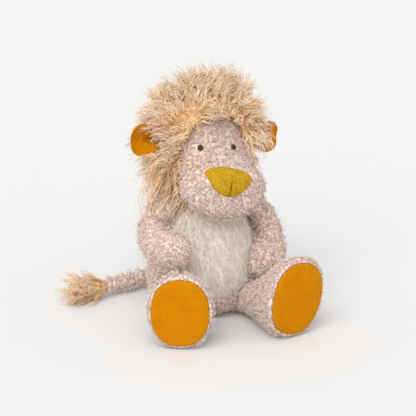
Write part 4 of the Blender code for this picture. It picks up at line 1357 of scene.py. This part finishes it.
def sew_arm(sewing, word, side, torso_tree):
    shoulder = shoulder_place(side)
    points = limb_points(side, ARM_LENGTH, ARM_PATH_SHARES[word])
    radii = [ARM_RADIUS * share for share in ARM_RADIUS_SHARES]
    form = knead(formed("arm", rooted_rings(points, radii, ARM_ROOT_RADIUS, ARM_SIDES)), "arm")
    form.transform(Matrix.Translation(shoulder))
    tree = surface_tree(form)
    room = worked(loft("room", torso_rings()), smooth(3), swell(SEAT_GAP))
    skin = cut(form, cut(room, ball(ARM_ROOT_RADIUS + GAP, shoulder)))
    places = points_of(skin)
    reach = on_form(places, tree) * ramp(heights_over(places, torso_tree), *ARM_SEAM_FADE)
    mark(skin, reach=reach, comb=ARM_COMB)
    body = "arm_" + word
    sewing.pile("arm_pile_" + word, skin, "plush", body)
    solids = ("arm_skin_" + word, "arm_stuffing_" + word)
    sewing.piece("arm_plush_" + word, skin, "plush", body, solids, 0.7)


def reach_down(width, height, roll):
    return sqrt((height * cos(roll)) ** 2 + (width * sin(roll)) ** 2)


class Foot:
    """How one leg's foot is stuffed and how far it rolls outwards."""

    def __init__(self, word):
        self.roll = FOOT_ROLLS[word]
        self.half_width = FOOT_HALF_WIDTH * FOOT_FILL_SHARES[word]
        self.half_height = FOOT_HALF_HEIGHT * FOOT_FILL_SHARES[word]

    def ring(self, y, width, height, roll, low, sides, grown=True, square=1.0):
        side = X * cos(roll) - Z * sin(roll)
        up = X * sin(roll) + Z * cos(roll)
        centre = Vector((0, y, low + reach_down(width, height, roll)))
        return ellipse(centre, side, up, width, height, sides, grown, square)

    def leg_rings(self):
        rings = root_rings(Vector(), -Y, X, Z, LEG_ROOT_RADIUS, LEG_SIDES)
        for reach, width, height, under, twist in LEG_RING_SHARES:
            low = HIP_HEIGHT * under - FLAT_DEPTH - HIP_HEIGHT
            rings.append(self.ring(
                -LEG_LENGTH * reach, self.half_width * width, self.half_height * height,
                self.roll * twist, low, LEG_SIDES))
        return rings

    def sole_ring(self, y, inset, share=1.0):
        width = (self.half_width * SOLE_SHARE - inset) * share
        height = (self.half_height * SOLE_SHARE - inset) * share
        foot_below = reach_down(self.half_width, self.half_height, self.roll)
        low = foot_below - reach_down(width, height, self.roll) - FLAT_DEPTH - HIP_HEIGHT
        return self.ring(-LEG_LENGTH + y, width, height, self.roll, low, SOLE_SIDES, False, SOLE_SQUARE)


def sew_sole(sewing, word, foot, matrix):
    """A crowned linen pad whose edge turns in to its seam."""
    rings = []
    for ring in range(SOLE_RINGS + 1):
        share = max(0.01, (ring / SOLE_RINGS) ** 0.7)
        rise = SOLE_CROWN * sqrt(max(0.0, 1.0 - share ** 6))
        rings.append(foot.sole_ring(SOLE_SINK - rise, GAP, share))
    rings.append(foot.sole_ring(SKIN - GAP, GAP * 2))
    mesh = loft("sole", rings)
    places = points_of(mesh)
    face = ramp(-places[:, 1], LEG_LENGTH - 0.0004, LEG_LENGTH + 0.0012)
    places[:, 1] -= (0.0007 * waver(places, 0.013, 61) + 0.0004 * waver(places, 0.006, 62)) * face
    set_cloth_map(move_points(mesh, places))
    mesh.transform(matrix)
    rest_on_floor(mesh, SOLE_SINK)
    sewing.piece("sole_linen_" + word, mesh, "linen", "leg_" + word, ("sole_pad_" + word,))


def sew_leg(sewing, word, torso_tree):
    foot = Foot(word)
    matrix = Matrix.Translation(HIP_PLACES[word]) @ Matrix.Rotation(LEG_SPLAYS[word], 4, "Z")
    form = fill_root(knead(formed("leg", foot.leg_rings()), "leg"), LEG_ROOT_RADIUS)
    tree = surface_tree(form)
    skin = cut(form, loft("hole", [foot.sole_ring(SKIN + GAP, 0), foot.sole_ring(-OVERRUN, 0)]))
    local = points_of(skin)
    along = -local[:, 1] / LEG_LENGTH
    toe = ramp(along, 0.80, 0.98)
    comb = np.stack([0 * toe, 0.25 * toe - 0.1, -0.2 * (1 - toe)], 1)
    skin.transform(matrix)
    places = points_of(rest_on_floor(skin))
    seam = ramp(heights_over(places, torso_tree), *LEG_SEAM_FADE)
    reach = on_form(local, tree) * seam * (0.25 + 0.75 * ramp(places[:, 2], *FOOT_FLOOR_FADE))
    reach = reach * (1 - 0.45 * ramp(along, 0.93, 1.0))
    mark(skin, reach=reach, comb=comb @ np.array(matrix.to_3x3()).T)
    body = "leg_" + word
    sewing.pile("leg_pile_" + word, skin, "plush", body)
    solids = ("leg_skin_" + word, "leg_stuffing_" + word)
    sewing.piece("leg_plush_" + word, skin, "plush", body, solids, 0.8)
    sew_sole(sewing, word, foot, matrix)


def sew_tail(sewing, torso_tree):
    points = limb_points(-1, TAIL_LENGTH, TAIL_PATH_SHARES)
    radii = [TAIL_RADIUS * share for share in TAIL_RADIUS_SHARES]
    skin = knead(formed("tail", rooted_rings(points, radii, TAIL_ROOT_RADIUS, TAIL_SIDES)), "tail")
    fill_root(skin, TAIL_ROOT_RADIUS).transform(Matrix.Translation(TAIL_PLACE))
    reach = ramp(heights_over(points_of(skin), torso_tree), *TAIL_SEAM_FADE)
    mark(skin, reach=reach, comb=TAIL_COMB)
    sewing.pile("tail_pile", skin, "plush", "tail")
    sewing.piece("tail_plush", skin, "plush", "tail", ("tail_skin", "tail_stuffing"), 0.6)
    sew_tuft(sewing, points)


def sew_tuft(sewing, points):
    along, side, up = path_frames(points)[-1]
    start = points[-1] - along * TUFT_OVERLAP
    rings = []
    for reach, share in TUFT_RING_SHARES:
        radius = max(TUFT_RADIUS * share - TUFT_INSET, TUFT_TIP_RADIUS)
        centre = start + along * (TUFT_LENGTH * TUFT_GROUND_SHARE * reach)
        rings.append(ellipse(centre, side, up, radius, radius, TUFT_SIDES))
    ground = knead(worked(loft("tuft", rings), smooth()), "tuft")
    local, start, along = points_of(ground), np.array(start), np.array(along)
    share = (local - start) @ along / TUFT_LENGTH
    away = unit(local - start - share[:, None] * TUFT_LENGTH * along)
    comb = along * 1.1 + away * (0.1 + 0.3 * ramp(share, 0.1, 0.6))[:, None]
    ground.transform(Matrix.Translation(TAIL_PLACE))
    mark(ground, comb=comb, reach=0.9 - 0.35 * ramp(share, 0.3, 0.8))
    sewing.pile("tuft_locks", ground, "blond", "tail")
    sewing.piece("tuft_ground", ground, "blond", "tail", ("tail_tuft",), 0.4)


def sew_neck(sewing):
    mesh = knead(ball(NECK_RADIUS - NECK_INSET, NECK_PLACE), "neck")
    sewing.piece("neck_wad", mesh, "fibre", "neck", ("neck_stuffing",), 0.9)


def dress_washers(sewing):
    """The washers inside the head keep their own solids and get a moulded finish."""
    for word in SIDES:
        for slot in frame["nodes"]["eye_washer_" + word].material_slots:
            slot.material = sewing.finish["washer"][0]


def make_lion():
    sewing = Sewing()
    torso_tree = surface_tree(worked(loft("torso", torso_rings()), smooth()))
    sew_torso(sewing)
    sew_neck(sewing)
    sew_mane(sewing, sew_head(sewing))
    dress_washers(sewing)
    for word, side in SIDES.items():
        sew_ear(sewing, word, side)
        sew_arm(sewing, word, side, torso_tree)
        sew_leg(sewing, word, torso_tree)
    sew_tail(sewing, torso_tree)


set_camera()
set_light()
set_floor()
make_lion()
bpy.context.view_layer.update()
